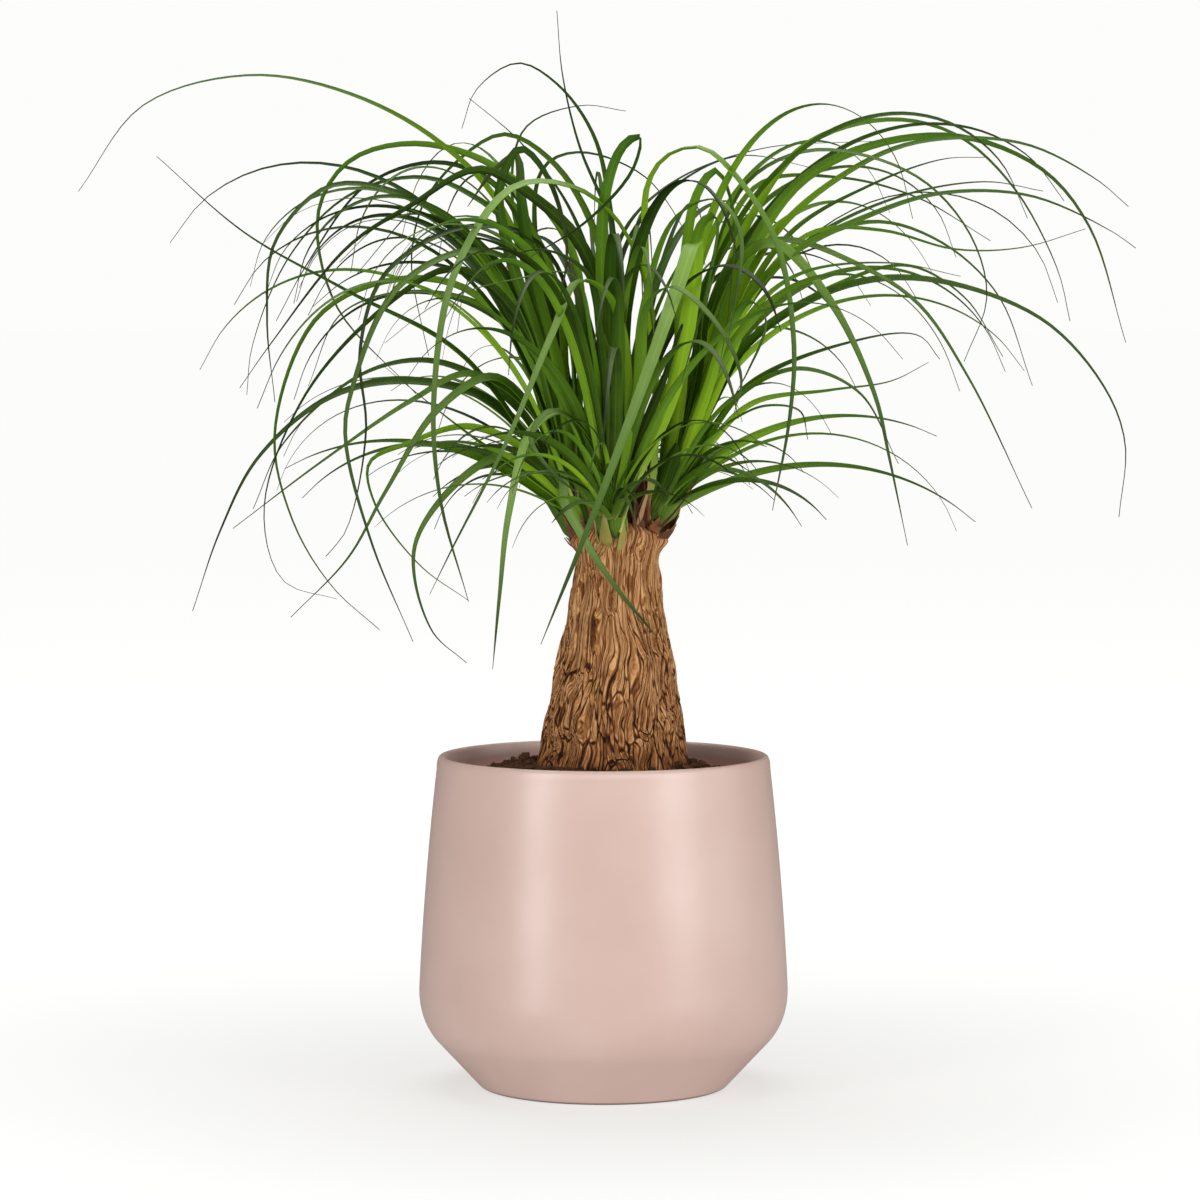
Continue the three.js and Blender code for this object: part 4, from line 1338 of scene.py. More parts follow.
    def listed(self, head: Head, leaf: tuple, shift: float, rise: float) -> Leaf:
        """A listed leaf: from inside the core through its listed way, its depth easing in along it.

        Formula: at share u of the way's length the depth is 0.4u + 0.6(3u^2 - 2u^3) of the tip's depth.

        Args:
            head: its head.
            leaf: its row in the table of leaves.
            shift: how much deeper its tip lies than the table says.
            rise: how far above the seat it starts.
        Returns:
            The leaf.
        """
        depth, width, way = leaf
        root = head.root(rise, way[0], head.seat[1] + 0.5 * (depth + shift), self.root_inset)
        flat = np.vstack([[root[0], root[2]], np.reshape(way, (-1, 2))])
        reach = np.concatenate([[0], np.cumsum(np.linalg.norm(np.diff(flat, axis=0), axis=1))])
        u = reach / reach[-1]
        ease = 0.4 * u + 0.6 * smoothstep(u, 0, 1)
        knots = self.seen_at(flat[:, 0], root[1] + (depth + shift) * ease, flat[:, 1])
        knots[0] = root
        return Leaf(head.name, knots, width)

    def arching(self, head: Head, draw: dict[str, float], azimuth: float, rise: float) -> Leaf:
        """A seeded leaf: twelve steps whose angle from the vertical grows from the launch to the tip.

        Formula: at share s of the length the tilt is launch + (tip - launch) s^bend, and the heading
        turns by the sweep times s.

        Args:
            head: its head.
            draw: its numbers, from growth.
            azimuth: where it heads, in degrees.
            rise: how far above the seat it starts.
        Returns:
            The leaf.
        """
        heading = math.radians(azimuth)
        aim_x = head.seat[0] + draw["length"] * math.cos(heading)
        aim_y = head.seat[1] + draw["length"] * math.sin(heading)
        root = head.root(rise, aim_x, aim_y, self.root_inset)
        steps = 12
        share = (np.arange(steps) + 0.5) / steps
        tilt = np.radians(draw["launch"] + (draw["tip"] - draw["launch"]) * share ** draw["bend"])
        sideways = np.radians(azimuth + draw["sweep"] * share)
        level = np.sin(tilt)
        ways = np.stack([level * np.cos(sideways), level * np.sin(sideways), np.cos(tilt)], axis=1)
        knots = np.vstack([root, root + np.cumsum(ways * draw["length"] / steps, axis=0)])
        return Leaf(head.name, knots, draw["width"])

    def samples(self, leaf: Leaf) -> Array:
        """x, y, z and half width at even places along a leaf."""
        share = np.linspace(0, 1, self.places_tested)
        return np.column_stack([leaf.at(share), blade_width(leaf.width, share) / 2])

    def from_trunk(self, xyz: Array) -> Array:
        """How far points are from the trunk's surface, measured level."""
        away = np.hypot(xyz[:, 0] - self.trunk.centre(xyz[:, 2]), xyz[:, 1])
        return away - self.trunk.radius(xyz[:, 2])

    def is_clear(self, leaf: Leaf) -> bool:
        """Whether a leaf keeps clear of the trunk and of the other heads' cores and leaves.

        Args:
            leaf: the leaf, which isn't kept yet.
        Returns:
            True where every gap is wide enough.
        """
        samples = self.samples(leaf)
        xyz, half = samples[:, :3], samples[:, 3]
        if np.any((xyz[:, 2] < self.crown_line) & (self.from_trunk(xyz) < half + self.trunk_gap)):
            return False
        others = [head for head in self.heads if head.name != leaf.head]
        cores = np.array([head.point(up) for head in others for up in self.core_heights])
        far = np.linalg.norm(xyz[:, None] - cores[None], axis=2)
        if np.any(far < self.core_radius + half[:, None] + self.core_gap):
            return False
        rest = np.concatenate([s for name, items in self.taken.items() if name != leaf.head for s in items])
        near = np.maximum(half[:, None] + rest[None, :, 3] + self.leaf_gap, self.least_apart)
        gap = sum((xyz[:, k, None] - rest[None, :, k]) ** 2 for k in range(3))
        return not np.any(gap < near * near)

    def is_within_reach(self, leaf: Leaf) -> bool:
        """Whether a leaf shows nowhere further out to the side than the front view's own leaves do.

        Args:
            leaf: the leaf.
        Returns:
            True where it stays inside.
        """
        samples = self.samples(leaf)
        shown = samples[:, 0] / (1 + samples[:, 1] / self.eye_distance)
        return bool(np.all(shown > -self.reach_left) and np.all(shown < self.reach_right))

    def keep(self, leaf: Leaf) -> None:
        """Keeps a leaf, and the room that it takes from other heads' leaves."""
        self.leaves.append(leaf)
        self.taken.setdefault(leaf.head, []).append(self.samples(leaf))

    def growth(self, head: Head, kind: tuple, sweeps: tuple, random: Numbers) -> dict[str, float]:
        """Draws the numbers of a seeded leaf.

        Args:
            head: its head.
            kind: its kind's limits.
            sweeps: the limits of how far it turns sideways.
            random: the numbers that they are drawn from, always in the same order.
        Returns:
            Launch, tip, length, width, bend and sweep by name.
        """
        launch, tip, length, width, bend = kind
        return {
            "launch": random.uniform(*launch),
            "tip": random.uniform(*tip),
            "length": head.reach * random.uniform(*length),
            "width": random.uniform(*width),
            "bend": bend,
            "sweep": random.uniform(*sweeps),
        }

    def grow(self) -> None:
        """Grows the dry scale, then the listed leaves, then the seeded ones, and rolls them all."""
        self.keep(Leaf("trunk", np.array(self.dry_scale, float), self.dry_scale_width))
        for head in self.heads:
            self.grow_listed(head)
        random = SeededNumbers(SEED)
        for head in self.heads:
            self.grow_seeded(head, random)
        self.roll()

    def grow_listed(self, head: Head) -> None:
        """Grows a head's listed leaves, each shifted in depth until it is clear.

        Args:
            head: the head.
        """
        low, high = self.listed_rises
        for i, listed in enumerate(LEAVES[head.name]):
            rise = low + (high - low) * ((i * GOLDEN_SHARE) % 1)
            tries = (self.listed(head, listed, shift, rise) for shift in self.shifts)
            leaf = next(leaf for leaf in tries if self.is_clear(leaf))
            leaf.firm = self.strap_firmness * ((head.name, i) in self.straps)
            self.keep(leaf)

    def grow_seeded(self, head: Head, random: SeededNumbers) -> None:
        """Grows a head's seeded leaves, each turned until it is clear, or left out.

        Args:
            head: the head.
            random: the numbers that they are drawn from.
        """
        for i in range(head.seeded):
            draw = self.growth(head, self.kinds[i % len(self.kinds)], self.sweeps, random)
            azimuth = head.azimuth + head.spread * (2 * (i + random.random()) / head.seeded - 1)
            rise = random.uniform(*self.seeded_rises)
            tries = (self.arching(head, draw, azimuth + turn, rise) for turn in self.turns)
            clear = (leaf for leaf in tries if self.is_within_reach(leaf) and self.is_clear(leaf))
            leaf = next(clear, None)
            if leaf is not None:
                self.keep(leaf)

    def roll(self) -> None:
        """Rolls the leaves about their own lines.

        Formula: with s as the share of its way that a leaf goes sideways, it rolls by s times a side roll,
        mostly outwards, plus 1 - |s| times an ahead roll. A strap turns its broad face to the front.
        """
        random = SeededNumbers(SEED + 1)
        for leaf in self.leaves:
            reach = np.diff(leaf.at([0, 0.6]), axis=0)[0]
            side = reach[0] / max(1.0, float(np.hypot(reach[0], reach[1])))
            turn = 1 if random.random() < 0.7 else -1
            leaf.roll = side * turn * random.uniform(*self.side_rolls)
            leaf.roll += (1 - abs(side)) * random.uniform(*self.ahead_rolls)
            if leaf.firm:
                leaf.roll = math.degrees(math.atan2(-reach[0], abs(reach[1])))

    def grow_hairs(self, head: Head, random: np.random.Generator) -> list[Leaf]:
        """Grows a head's thin young leaves, which only this model shows, inside the solids' box.

        Args:
            head: the head.
            random: the numbers that they are drawn from.
        Returns:
            Those that neither hide the crown's front nor come near the trunk.
        """
        low, high = (np.array(corner) / MM for corner in CAD_BOX)
        depth, top, middle, half = self.bare_front
        hairs = []
        for i in range(head.hairs):
            kind = self.hair_kinds[i % len(self.hair_kinds)]
            draw = self.growth(head, kind, self.hair_sweeps, random)
            azimuth = head.azimuth + head.spread * self.hair_sector * random.uniform(-1, 1)
            leaf = self.arching(head, draw, azimuth, random.uniform(*self.hair_rises))
            leaf.roll = random.uniform(*self.hair_rolls)
            leaf.tone = random.random()
            path = leaf.at(np.linspace(0, 1, 30))
            x, y, z = path.T
            fits = np.all(path > low + self.hair_box_gap) and np.all(path < high - self.hair_box_gap)
            shades = (y < depth) & (z < top) & (np.abs(x - middle) < half)
            nears = (z < self.crown_line + 2) & (self.from_trunk(path) < self.hair_trunk_gap)
            if fits and not np.any(shades | nears):
                hairs.append(leaf)
        return hairs

    def blades(self, leaves: list[Leaf], form: tuple) -> tuple[Array, dict]:
        """Blades along their leaves' curves.

        Formula: at each station the section is a shallow V of the blade's width, deep at the root and
        nearly flat further out: at the share p of the half width it stands p^1.25 (0.27 + 0.45 (1 - u)^3)
        of the half width high, and it is given a thickness. Its across direction starts level, is carried
        along without twisting, and is then rolled about the leaf's line. The value open, from 0 to 1, says
        how far the upper face turns up and outwards.

        Args:
            leaves: the leaves.
            form: how many sections each has, their places across, and the thickness.
        Returns:
            Rings for a Mould, and their attributes.
        """
        stations, flat, thickness = form
        u = np.linspace(0, 1, stations) ** 1.05
        paths = np.stack([leaf.at(u) for leaf in leaves])
        middle = np.stack([leaf.at([0.0, 0.5]) for leaf in leaves])
        out = middle[:, 1] - middle[:, 0]
        out[:, 2] = 0
        out = unit(out)
        across, up = carry_along(paths, np.stack([-out[:, 1], out[:, 0], out[:, 2]], axis=1))
        roll = np.radians([leaf.roll for leaf in leaves])[:, None]
        tone = np.array([leaf.tone for leaf in leaves])[:, None]
        turn = (roll + (tone - 0.5) * self.tip_twist * u[None] ** 2)[..., None]
        side = across * np.cos(turn) + up * np.sin(turn)
        face = up * np.cos(turn) - across * np.sin(turn)
        width = np.array([leaf.width for leaf in leaves])[:, None]
        tips = paths[:, -1]
        aside = np.abs(tips[:, 0] - self.front_middle)
        firm = self.front_firmness * smoothstep(-tips[:, 1], *self.front_depths)
        firm = firm * (1 - smoothstep(aside, *self.front_reaches))
        firm = np.maximum(firm, [leaf.firm for leaf in leaves])
        half = strap_width(width, u[None], firm[:, None]) / 2
        fold = 0.45 * (1 - u) ** 3 + 0.27
        deep = thickness * (0.35 + 0.65 * (1 - u) ** 0.5)
        places = np.array([*flat, *flat[::-1]], float)
        layer = np.repeat([1.0, -1.0], len(flat))
        wide = half[..., None] * places
        rise = half[..., None] * np.abs(places) ** 1.25 * fold[:, None] + deep[:, None] * layer / 2
        rings = paths[:, :, None] + side[:, :, None] * wide[..., None] + face[:, :, None] * rise[..., None]
        # Where the upper face turns up and outwards, the finish paints its sheen
        turned_out = 0.6 * face[..., 2] + 0.75 * (face * out[:, None]).sum(axis=2)
        values = {
            "open": smoothstep(turned_out, 0.1, 0.8)[..., None],
            "along": u[None, :, None],
            "across": places[None, None],
            "upper": (layer > 0).astype(float)[None, None],
            "tone": tone[..., None],
        }
        return rings, values

    def build(self) -> None:
        """Makes each head's blades, hairs and green bulb, and the dry scales on the crown."""
        self.grow()
        powers = {head.name: head.tone_power for head in self.heads}
        tones = np.random.default_rng(SEED + 3)
        for leaf in self.leaves:
            leaf.tone = float(tones.random()) ** powers.get(leaf.head, 1)
        green = LeafFinish().material()
        random = np.random.default_rng(SEED + 2)
        for head in self.heads:
            own = [leaf for leaf in self.leaves if leaf.head == head.name]
            pieces = {
                "_blades": (self.blades(own, self.blade_form), self.blade_crease),
                "_hairs": (self.blades(self.grow_hairs(head, random), self.hair_form), self.blade_crease),
                "_bulb": (self.bulb(head), self.base_crease),
            }
            for ending, ((rings, values), crease) in pieces.items():
                mould = Mould()
                # Each head takes its own share of the painted sheen
                mould.add(rings, {**values, "open": values["open"] * head.open_sheen})
                mould.cast(head.name + ending, green, [head.node], crease)
        self.build_sheaths()

    def core_profile(self, up: Array) -> Array:
        """Radius of a head's core, by straight lines through its form.

        Args:
            up: distance above its seat.
        Returns:
            The radius there.
        """
        stations = [(height, share * self.core_radius) for height, share in self.core_form]
        heights, radii = np.array([*stations, self.core_tip]).T
        return np.interp(up, heights, radii)

    def wraps(
        self, head: Head, azimuth: Array, half_angle: Array, start: Array, length: Array, lift: Array,
        flare: Array, thickness: float, point: float
    ) -> tuple[Array, dict]:
        """Leaf bases that wrap round a head's core and end in a point.

        Formula: at share t of the length the base stands at the core's radius plus its lift, flares out
        by the square of t, and spans an angle that narrows as (1 - t^1.6) to the power of its point. Over
        its first quarter it grows from 0.3 of its span and 0.55 of its radius to the whole of both. Where it
        stands wider than the core, its angle shrinks as the radius grows. Its edges lie 0.25 mm closer to
        the axis than its middle.

        Args:
            head: the head.
            azimuth: where each base is centred, in radians round the core.
            half_angle: half of the angle that it spans at its foot.
            start, length: where it starts along the axis, and how long it is.
            lift: how far outside the core it lies.
            flare: how far its tip bends out.
            thickness: its thickness.
            point: how sharply it ends: 0.5 is round, and 1 or more is pointed.
        Returns:
            Rings for a Mould, and their attributes.
        """
        axis = head.axis()
        first = unit(np.cross(axis, [0, 1.0, 0]))
        second = np.cross(axis, first)
        t = np.linspace(0, 1, self.wrap_stations)
        flat = np.linspace(1, -1, self.wrap_places)
        places = np.concatenate([flat, flat[::-1]])
        layer = np.repeat([1.0, 0.0], self.wrap_places)
        up = start[:, None] + length[:, None] * t[None]
        foot = smoothstep(t, 0, 0.25)[None]
        core = self.core_profile(np.minimum(up, self.taper_end))
        radius = (core + lift[:, None]) * (0.55 + 0.45 * foot) * head.slim
        radius = radius + flare[:, None] * t[None] ** 2
        span = half_angle[:, None] * np.maximum(0.05, (1 - t[None] ** 1.6)) ** point * (0.3 + 0.7 * foot)
        span = span * self.core_radius / np.maximum(self.core_radius, radius)
        turn = azimuth[:, None, None] + span[..., None] * places
        stand = radius[..., None] + layer * thickness - 0.25 * np.abs(places) ** 2
        rings = (
            np.array(head.seat, float)
            + axis * up[:, :, None, None]
            + stand[..., None] * (np.cos(turn)[..., None] * first + np.sin(turn)[..., None] * second)
        )
        return rings, {"along": t[None, :, None], "across": places[None, None], "upper": layer[None, None]}

    def bulb(self, head: Head) -> tuple[Array, dict]:
        """The green bulb of a head: long overlapping leaf bases that wrap round its core.

        Formula: base k stands at k golden angles, starts 0.9k above the foot, is 40 + 2.2k long and lies
        1.2 - 0.17k outside the core. Seeded numbers spread all of these a little, apart from the last.

        Args:
            head: the head.
        Returns:
            Rings for a Mould, and their attributes.
        """
        random = np.random.default_rng(SEED + 40 + len(head.name))
        count = self.bulb_bases
        index = np.arange(count)
        azimuth = index * GOLDEN_ANGLE + random.uniform(-0.2, 0.2, count)
        start = head.foot + 0.9 * index + random.uniform(-0.6, 0.6, count)
        length = 40 + 2.2 * index + random.uniform(-5, 8, count)
        lift = 1.2 - 0.17 * index
        flare = random.uniform(5, 13, count)
        half = random.uniform(1.05, 1.35, count)
        rings, values = self.wraps(head, azimuth, half, start, length, lift, flare, 0.6, 0.7)
        values["along"] = 0.015 + 0.17 * values["along"] ** 0.8
        values["upper"] = np.array(0.75)
        values["open"] = np.array(0.0)
        values["tone"] = random.uniform(0, 0.8, count)[:, None, None]
        return rings, values

    def sheaths(self, head: Head, random: np.random.Generator) -> tuple[Array, dict]:
        """The dry sheaths round a head's foot.

        Formula: sheath k stands at k golden angles, and its sizes are seeded.

        Args:
            head: the head.
            random: the numbers that they are drawn from.
        Returns:
            Rings for a Mould, and their attributes.
        """
        count = head.sheaths
        azimuth = np.arange(count) * GOLDEN_ANGLE + random.uniform(-0.25, 0.25, count)
        start = head.foot - random.uniform(1, 8, count)
        length = random.uniform(9, 26, count)
        lift = random.uniform(1.0, 2.4, count)
        flare = random.uniform(0.0, 3.0, count)
        half = random.uniform(0.25, 0.65, count) * head.sheath_width
        rings, values = self.wraps(head, azimuth, half, start, length, lift, flare, 0.5, 1.2)
        values["fresh"] = np.array(head.sheath_green)
        values["tone"] = random.uniform(0.1, 0.8, count)[:, None, None]
        values["along"] = values["along"] * random.uniform(0.5, 0.95, count)[:, None, None]
        del values["upper"]
        return rings, values

    def scales(self, random: np.random.Generator) -> list[Leaf]:
        """The small dry scales that stand on the crown, and those in the gap between two heads.

        Formula: scale k stands at k golden angles round the crown, at the root of a seeded share of its
        radius squared, and bows outwards by the square of its height's share.

        Args:
            random: the numbers that they are drawn from.
        Returns:
            The scales.
        """
        count = self.crown_scales
        angle = np.arange(count) * GOLDEN_ANGLE
        reach = self.crown_radius * np.sqrt(random.uniform(0.12, 0.9, count))
        out = np.stack([np.cos(angle), np.sin(angle), 0 * angle], axis=1)
        root = out * reach[:, None] + np.array(self.crown_middle)
        tall = random.uniform(12, 34, count)[:, None]
        bow = random.uniform(-0.1, 0.35, count)[:, None]
        up = np.array([0, 0, 1.0])
        points = [root + up * tall * s + out * tall * bow * s**2 for s in (0.0, 0.4, 0.75, 1.0)]
        widths = random.uniform(4, 8, count)
        scales = [Leaf("trunk", way, width) for way, width in zip(np.stack(points, axis=1), widths)]
        for scale in scales:
            scale.roll, scale.tone = random.uniform(-35, 35), random.uniform(0, 0.75)
        standing = [Leaf("trunk", np.array(way, float), self.gap_scale_width) for way in self.gap_scales]
        for scale in standing:
            scale.roll, scale.tone = 80, 0.3
        return scales + standing

    def build_sheaths(self) -> None:
        """Makes the dry sheaths round the heads' feet, and the dry scales that stand on the crown.

        Each kind of scale starts at its own place along the finish's fade, and runs its own share of it.
        """
        mould = Mould()
        random = np.random.default_rng(SEED + 7)
        for head in self.heads:
            mould.add(*self.sheaths(head, random))
        curl = self.leaves[0]
        scale = Leaf("trunk", np.array(self.shown_scale), curl.width, curl.roll, 0.7)
        needle = Leaf("trunk", np.array(self.dry_needle), self.dry_needle_width, 20, 0.1)
        kinds = (([scale], 0.62, 0.4), ([needle], 0.12, 0.23), (self.scales(random), 0.2, 0.4))
        for dry_leaves, start, share in kinds:
            rings, values = self.blades(dry_leaves, self.scale_form)
            along = start + share * values["along"]
            values = {"along": along, "across": values["across"], "tone": values["tone"]}
            mould.add(rings, {**values, "fresh": np.array(0.0)})
        mould.cast("crown_sheaths", SheathFinish().material(), ["trunk"], self.base_crease)


@dataclass
class Studio:
    """Camera, soft boxes, white surroundings and the pale floor, in metres.

    The floor is as bright as floor_near in its middle and as floor_far a long way off, and has gone half of
    that way at floor_reach.
    """

    eye: tuple = (-0.0019, -2.575, 0.435)
    aim_height: float = 0.26394
    lens: float = 143.34
    sensor: float = 36.0
    backdrop: tuple = srgb(253, 253, 251)
    ambient: float = 0.03
    floor_bounce: float = 0.55
    floor_gloss: float = 0.02
    floor_far: float = 0.985
    floor_near: float = 0.6
    floor_reach: float = 0.62
    floor_albedo: float = 0.34
    floor_half: float = 40
    light_aim: float = 0.28
    # Soft boxes: azimuth from the camera's side in degrees, height, distance, width, tall, watts
    boxes: tuple = (
        ("left_box", -43, 0.72, 1.9, 0.58, 1.6, 16.6),
        ("right_box", 50, 0.62, 1.9, 0.9, 1.6, 17),
        ("side_box", 84, 0.7, 1.9, 1.0, 1.6, 6),
        ("front_box", 2, 1.0, 1.7, 2.0, 0.9, 10.3),
        ("top_box", 190, 2.2, 0.5, 1.6, 1.6, 32),
    )

    def build(self) -> None:
        """Sets up everything that isn't part of the object."""
        scene = bpy.context.scene
        scene.view_settings.view_transform = "Standard"
        self.camera()
        for box in self.boxes:
            self.soft_box(*box)
        self.surroundings(scene)
        self.floor()

    def camera(self) -> None:
        """The camera at the viewing angle of the front view."""
        data = bpy.data.cameras.new("front_camera")
        data.lens = self.lens
        data.sensor_width = self.sensor
        data.clip_end = 100
        aim = (self.eye[0], 0, self.aim_height)
        bpy.context.scene.camera = self.stand(data, self.eye, aim)

    def stand(self, data: bpy.types.ID, place: tuple, aim: tuple) -> bpy.types.Object:
        """Puts a camera or a light at a place.

        Args:
            data: the camera or light, which gives its name.
            place: where it stands.
            aim: the point that it is turned to.
        Returns:
            The object.
        """
        thing = bpy.data.objects.new(data.name, data)
        thing.location = place
        thing.rotation_euler = (Vector(aim) - Vector(place)).to_track_quat("-Z", "Y").to_euler()
        bpy.context.scene.collection.objects.link(thing)
        return thing

    def soft_box(
        self, name: str, azimuth: float, height: float, distance: float, width: float, tall: float,
        watts: float
    ) -> None:
        """A rectangular area light that faces the plant.

        Args:
            name: its name.
            azimuth: how far round it stands from the camera's side, in degrees.
            height, distance: where it stands.
            width, tall: its size.
            watts: its power.
        """
        data = bpy.data.lights.new(name, "AREA")
        data.shape = "RECTANGLE"
        data.size, data.size_y = width, tall
        data.energy = watts
        turn = math.radians(azimuth)
        place = (distance * math.sin(turn), -distance * math.cos(turn), height)
        self.stand(data, place, (0, 0, self.light_aim))

    def surroundings(self, scene: bpy.types.Scene) -> None:
        """White surroundings: bright where they are seen directly, softer as a light.

        Args:
            scene: the scene that they belong to.
        """
        world = bpy.data.worlds.new("white_surroundings")
        world.use_nodes = True
        tree = world.node_tree
        background = tree.nodes["Background"]
        background.inputs["Color"].default_value = self.backdrop
        path = tree.nodes.new("ShaderNodeLightPath")
        strength = tree.nodes.new("ShaderNodeMapRange")
        strength.inputs["To Min"].default_value = self.ambient
        strength.inputs["To Max"].default_value = 1.0
        tree.links.new(path.outputs["Is Camera Ray"], strength.inputs["Value"])
        tree.links.new(strength.outputs["Result"], background.inputs["Strength"])
        scene.world = world

    def floor(self) -> None:
        """A wide pale floor that glows a little, so that the shadow on it stays faint.

        Formula: it is seen as bright as far - (far - near) / (1 + (d / reach)^2) at the distance d from
        the middle.
        """
        half = self.floor_half
        mesh = bpy.data.meshes.new("floor")
        corners = [(-half, -half, 0), (half, -half, 0), (half, half, 0), (-half, half, 0)]
        mesh.from_pydata(corners, [], [(0, 1, 2, 3)])
        shader = Shader("pale_floor")
        color = tuple(self.floor_albedo * c for c in self.backdrop[:3])
        away = shader.node("VectorMath")
        away.operation = "LENGTH"
        shader.put(away.inputs[0], shader.place(*(1 / self.floor_reach,) * 3))
        square = shader.multiply(away.outputs["Value"], away.outputs["Value"])
        dip = shader.reckon("DIVIDE", self.floor_far - self.floor_near, shader.add(square, 1.0))
        seen = shader.reckon("SUBTRACT", self.floor_far, dip)
        path = shader.node("LightPath").outputs
        direct = shader.multiply(path["Is Camera Ray"], seen)
        bounced = shader.multiply(path["Is Diffuse Ray"], self.floor_bounce)
        mirrored = shader.multiply(path["Is Glossy Ray"], self.floor_gloss)
        shader.put(shader.surface.inputs["Emission Color"], self.backdrop)
        shader.put(shader.surface.inputs["Emission Strength"], shader.add(bounced, mirrored, direct))
        mesh.materials.append(shader.finish((*color, 1), 1.0, 0.0))
        floor = bpy.data.objects.new("floor", mesh)
        bpy.context.scene.collection.objects.link(floor)
        floor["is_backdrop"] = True


# Each listed leaf: depth of its tip behind the head (+) or before it (-), greatest width, and its way from
# the head to its tip as x and height pairs, as the front view shows them
LEAVES = {
    "left": (
        (-30, 5, (-52, 469, -87, 509, -136, 536, -190, 546, -247, 530, -282, 484)),
        (-60, 5, (-77, 396, -137, 430, -193, 462, -240, 503)),
        (-50, 7.5, (-45, 424, -67, 455, -103, 480, -146, 487, -176, 458, -181, 416, -177, 371)),
        (40, 6.5, (-18, 452, -56, 495, -100, 509, -136, 500, -153, 473, -144, 423, -101, 375)),
        (-40, 5, (-46, 334, -75, 355, -118, 390)),
        (70, 5.5, (-32, 430, -56, 485, -88, 499, -127, 487, -159, 445, -176, 414)),
        (95, 4.5, (-45, 457, -72, 482, -99, 491, -137, 481, -169, 448, -189, 400, -192, 374)),
        (-20, 5, (-40, 409, -81, 466, -100, 472, -119, 467, -142, 446)),
        (20, 4.5, (-26, 436, -50, 479, -72, 494, -100, 476, -133, 439)),
        (-75, 5.5, (-24, 440, -46, 462, -81, 463, -118, 439, -131, 399, -128, 355, -139, 302, -150, 288)),
        (-105, 5, (-26, 425, -67, 452, -110, 433, -136, 376, -139, 351, -125, 295, -103, 242)),
        (-85, 5.5, (-34, 393, -61, 433, -83, 442, -121, 419, -161, 374, -183, 314, -173, 275, -144, 265)),
        (-35, 5, (-32, 376, -72, 430, -114, 436, -154, 416, -177, 355, -168, 308, -147, 272, -121, 248)),
        (30, 5, (-40, 387, -61, 420, -103, 430, -141, 418, -159, 379)),
        (-15, 5.5, (-45, 355, -67, 374, -110, 382, -148, 373, -186, 341, -207, 301, -222, 258)),
        (25, 4.5, (-45, 366, -88, 392, -127, 387, -172, 349, -189, 313)),
        (-60, 4.5, (-40, 366, -72, 386, -103, 372, -152, 339, -200, 303)),
        (-30, 5, (-40, 335, -55, 341, -80, 326, -102, 292, -93, 248, -74, 230)),
        (-45, 5.5, (-36, 339, -72, 357, -106, 348, -126, 338, -123, 316, -99, 283, -73, 264)),
        (-70, 5.5, (-32, 355, -59, 384, -89, 367, -118, 322, -138, 287, -169, 255)),
        (-40, 9, (-25, 382, -38, 436, -44, 479, -47, 503, -59, 495, -73, 476)),
        (-75, 6, (-34, 398, -51, 452, -56, 485, -45, 507, -31, 493, -20, 455, -24, 422)),
    ),
    "front": (
        (-100, 8, (0, 414, -12, 455, -39, 482, -67, 496, -103, 477, -137, 455, -179, 403, -196, 379)),
        (-60, 5, (-7, 333, -23, 365, -38, 356, -51, 310, -56, 267, -60, 227)),
        (-50, 4.5, (-1, 333, -14, 359, -29, 366, -39, 352, -28, 334, -10, 319)),
        (-60, 5.5, (-7, 403, -17, 439, -48, 437, -88, 425, -118, 403)),
        (-80, 5, (-2, 403, -10, 441, -37, 453, -71, 436, -88, 412)),
        (-120, 7, (26, 371, 24, 425, 7, 468, -17, 486, -48, 486, -79, 442, -91, 375, -88, 320, -73, 264)),
        (-130, 6.5, (12, 360, 9, 409, 0, 430, -13, 436, -27, 408, -52, 350, -82, 292, -94, 268)),
        (-70, 6.5, (2, 382, -1, 447, 1, 483, 10, 508, 19, 514, 15, 496, -9, 469, -40, 449)),
        (-110, 5.5, (18, 371, 22, 420, 39, 470, 60, 480, 73, 463, 67, 403)),
        (-140, 8, (36, 371, 48, 430, 49, 457, 40, 432, 22, 382, -2, 319, -34, 241)),
        (-48, 6.5, (-11, 322, -19, 332, -20, 318, -13, 303, 5, 274, 30, 243)),
        (-35, 5.5, (13, 330, 21, 355, 31, 379, 43, 414, 52, 428)),
        (-25, 9, (-6, 371, -11, 409, -15, 436, -20, 452)),
        (-130, 6, (20, 382, 25, 425, 37, 433, 61, 413, 74, 384, 70, 365)),
    ),
    "right": (
        (-90, 7, (30, 371, 24, 450, 25, 488, 35, 503, 52, 507, 73, 489, 93, 455, 102, 403, 100, 363,
                  91, 313)),
        (-70, 9, (60, 382, 71, 430, 77, 449, 92, 456, 122, 425, 146, 375, 154, 341, 164, 294)),
        (-50, 5.5, (40, 371, 42, 425, 50, 482, 60, 495, 69, 475, 68, 430, 62, 387)),
        (-75, 6, (41, 371, 44, 414, 53, 467, 60, 471, 57, 440, 42, 382)),
        (40, 5.5, (55, 382, 64, 430, 78, 467, 108, 508, 152, 522, 189, 514, 220, 486, 244, 442, 251, 414)),
        (-20, 8, (60, 398, 77, 447, 105, 488, 143, 508, 192, 513, 235, 496, 261, 465, 281, 403)),
        (-50, 7.5, (66, 409, 93, 461, 128, 492, 167, 510, 224, 510, 264, 491, 282, 476)),
        (20, 5.5, (68, 409, 100, 461, 143, 487, 182, 501, 206, 502)),
        (-60, 5.5, (50, 382, 57, 436, 77, 488, 107, 505, 141, 503, 174, 488, 198, 459, 206, 427, 194, 393)),
        (65, 5, (48, 382, 57, 436, 83, 487, 126, 491, 169, 480, 208, 457)),
        (-80, 7, (63, 398, 81, 430, 101, 450, 140, 470, 180, 483, 229, 482, 273, 463, 286, 454)),
        (5, 5, (64, 403, 106, 454, 156, 480, 205, 489, 236, 484)),
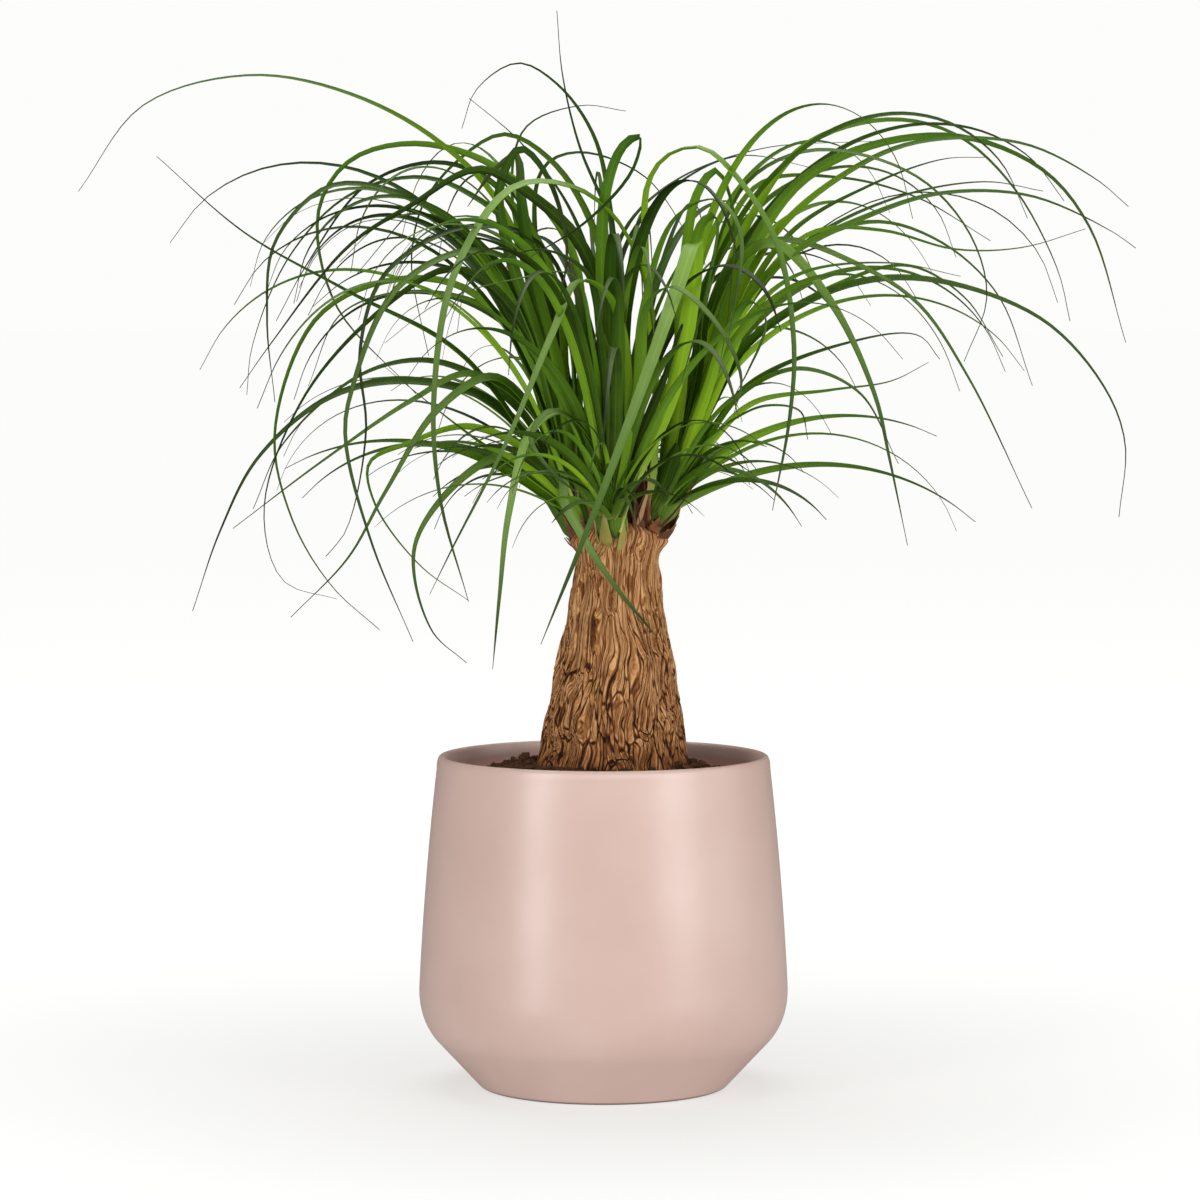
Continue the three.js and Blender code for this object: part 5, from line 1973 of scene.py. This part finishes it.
        (-30, 5, (66, 398, 87, 438, 113, 462, 150, 463, 189, 453, 225, 454, 259, 464)),
        (85, 5, (66, 403, 91, 442, 142, 467, 180, 457, 212, 428, 231, 379)),
        (-95, 5, (63, 382, 82, 422, 108, 441, 156, 446, 192, 439)),
        (-40, 5.5, (60, 371, 79, 403, 126, 432, 173, 437, 235, 416, 269, 380, 281, 349, 278, 309)),
        (35, 5, (57, 375, 80, 404, 122, 432, 163, 444, 194, 427, 215, 395)),
        (-60, 5.5, (52, 382, 59, 425, 73, 450, 97, 458, 132, 447, 168, 425, 196, 385, 231, 314)),
        (-30, 5, (59, 355, 80, 381, 125, 401, 169, 407, 181, 394)),
        (-70, 5, (58, 352, 77, 377, 106, 389, 138, 376, 159, 338)),
        (20, 5, (59, 349, 81, 370, 122, 377, 155, 382, 175, 392)),
        (-55, 5, (52, 345, 70, 361, 88, 369, 106, 366, 110, 351)),
        (-20, 5, (47, 330, 56, 343, 74, 350, 88, 347)),
        (-45, 5, (46, 326, 52, 336, 65, 341, 80, 333)),
        (-85, 5, (54, 371, 67, 409, 79, 425, 87, 415, 77, 387, 71, 376)),
    ),
    "back": (
        (60, 5, (5, 409, -5, 463, -27, 499, -53, 514, -78, 500, -97, 476, -103, 450, -102, 433, -94, 395)),
        (50, 5, (8, 398, 4, 471, -5, 513, -25, 541, -46, 552, -68, 538, -76, 517)),
        (25, 4.5, (12, 409, 5, 463, -13, 508, -22, 546, -25, 580)),
        (85, 4.5, (-2, 425, -18, 474, -45, 510, -72, 533)),
        (105, 4.5, (-30, 414, -49, 479, -42, 517, -12, 529, 12, 526)),
        (125, 4.5, (-36, 452, -32, 496, -13, 504, 22, 491, 44, 461, 52, 441)),
        (95, 4.5, (3, 425, 12, 463, 39, 489, 85, 506, 145, 510)),
        (125, 4.5, (6, 425, 14, 458, 37, 485, 73, 502, 115, 495)),
    ),
}


def write_sizes() -> None:
    """Logs the CAD model's box and the dressed model's box, in millimetres."""
    boxes = {"cad": CAD_BOX, "visual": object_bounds()}
    plain = {name: [list(corner) for corner in box] for name, box in boxes.items()}
    for name, (low, high) in plain.items():
        LOG.info("%s box in mm: %s", name, [round((b - a) / MM, 1) for a, b in zip(low, high)])


def main() -> None:
    """Builds the studio and the palm, piece by piece."""
    logging.basicConfig(level=logging.INFO, format="%(name)s: %(message)s")
    Studio().build()
    pot = CeramicPot()
    pot.build()
    trunk = CorkyTrunk()
    trunk.build()
    SoilBed(pot, trunk).build()
    LeafCrown(trunk).build()
    write_sizes()


if __name__ == "__main__":
    main()
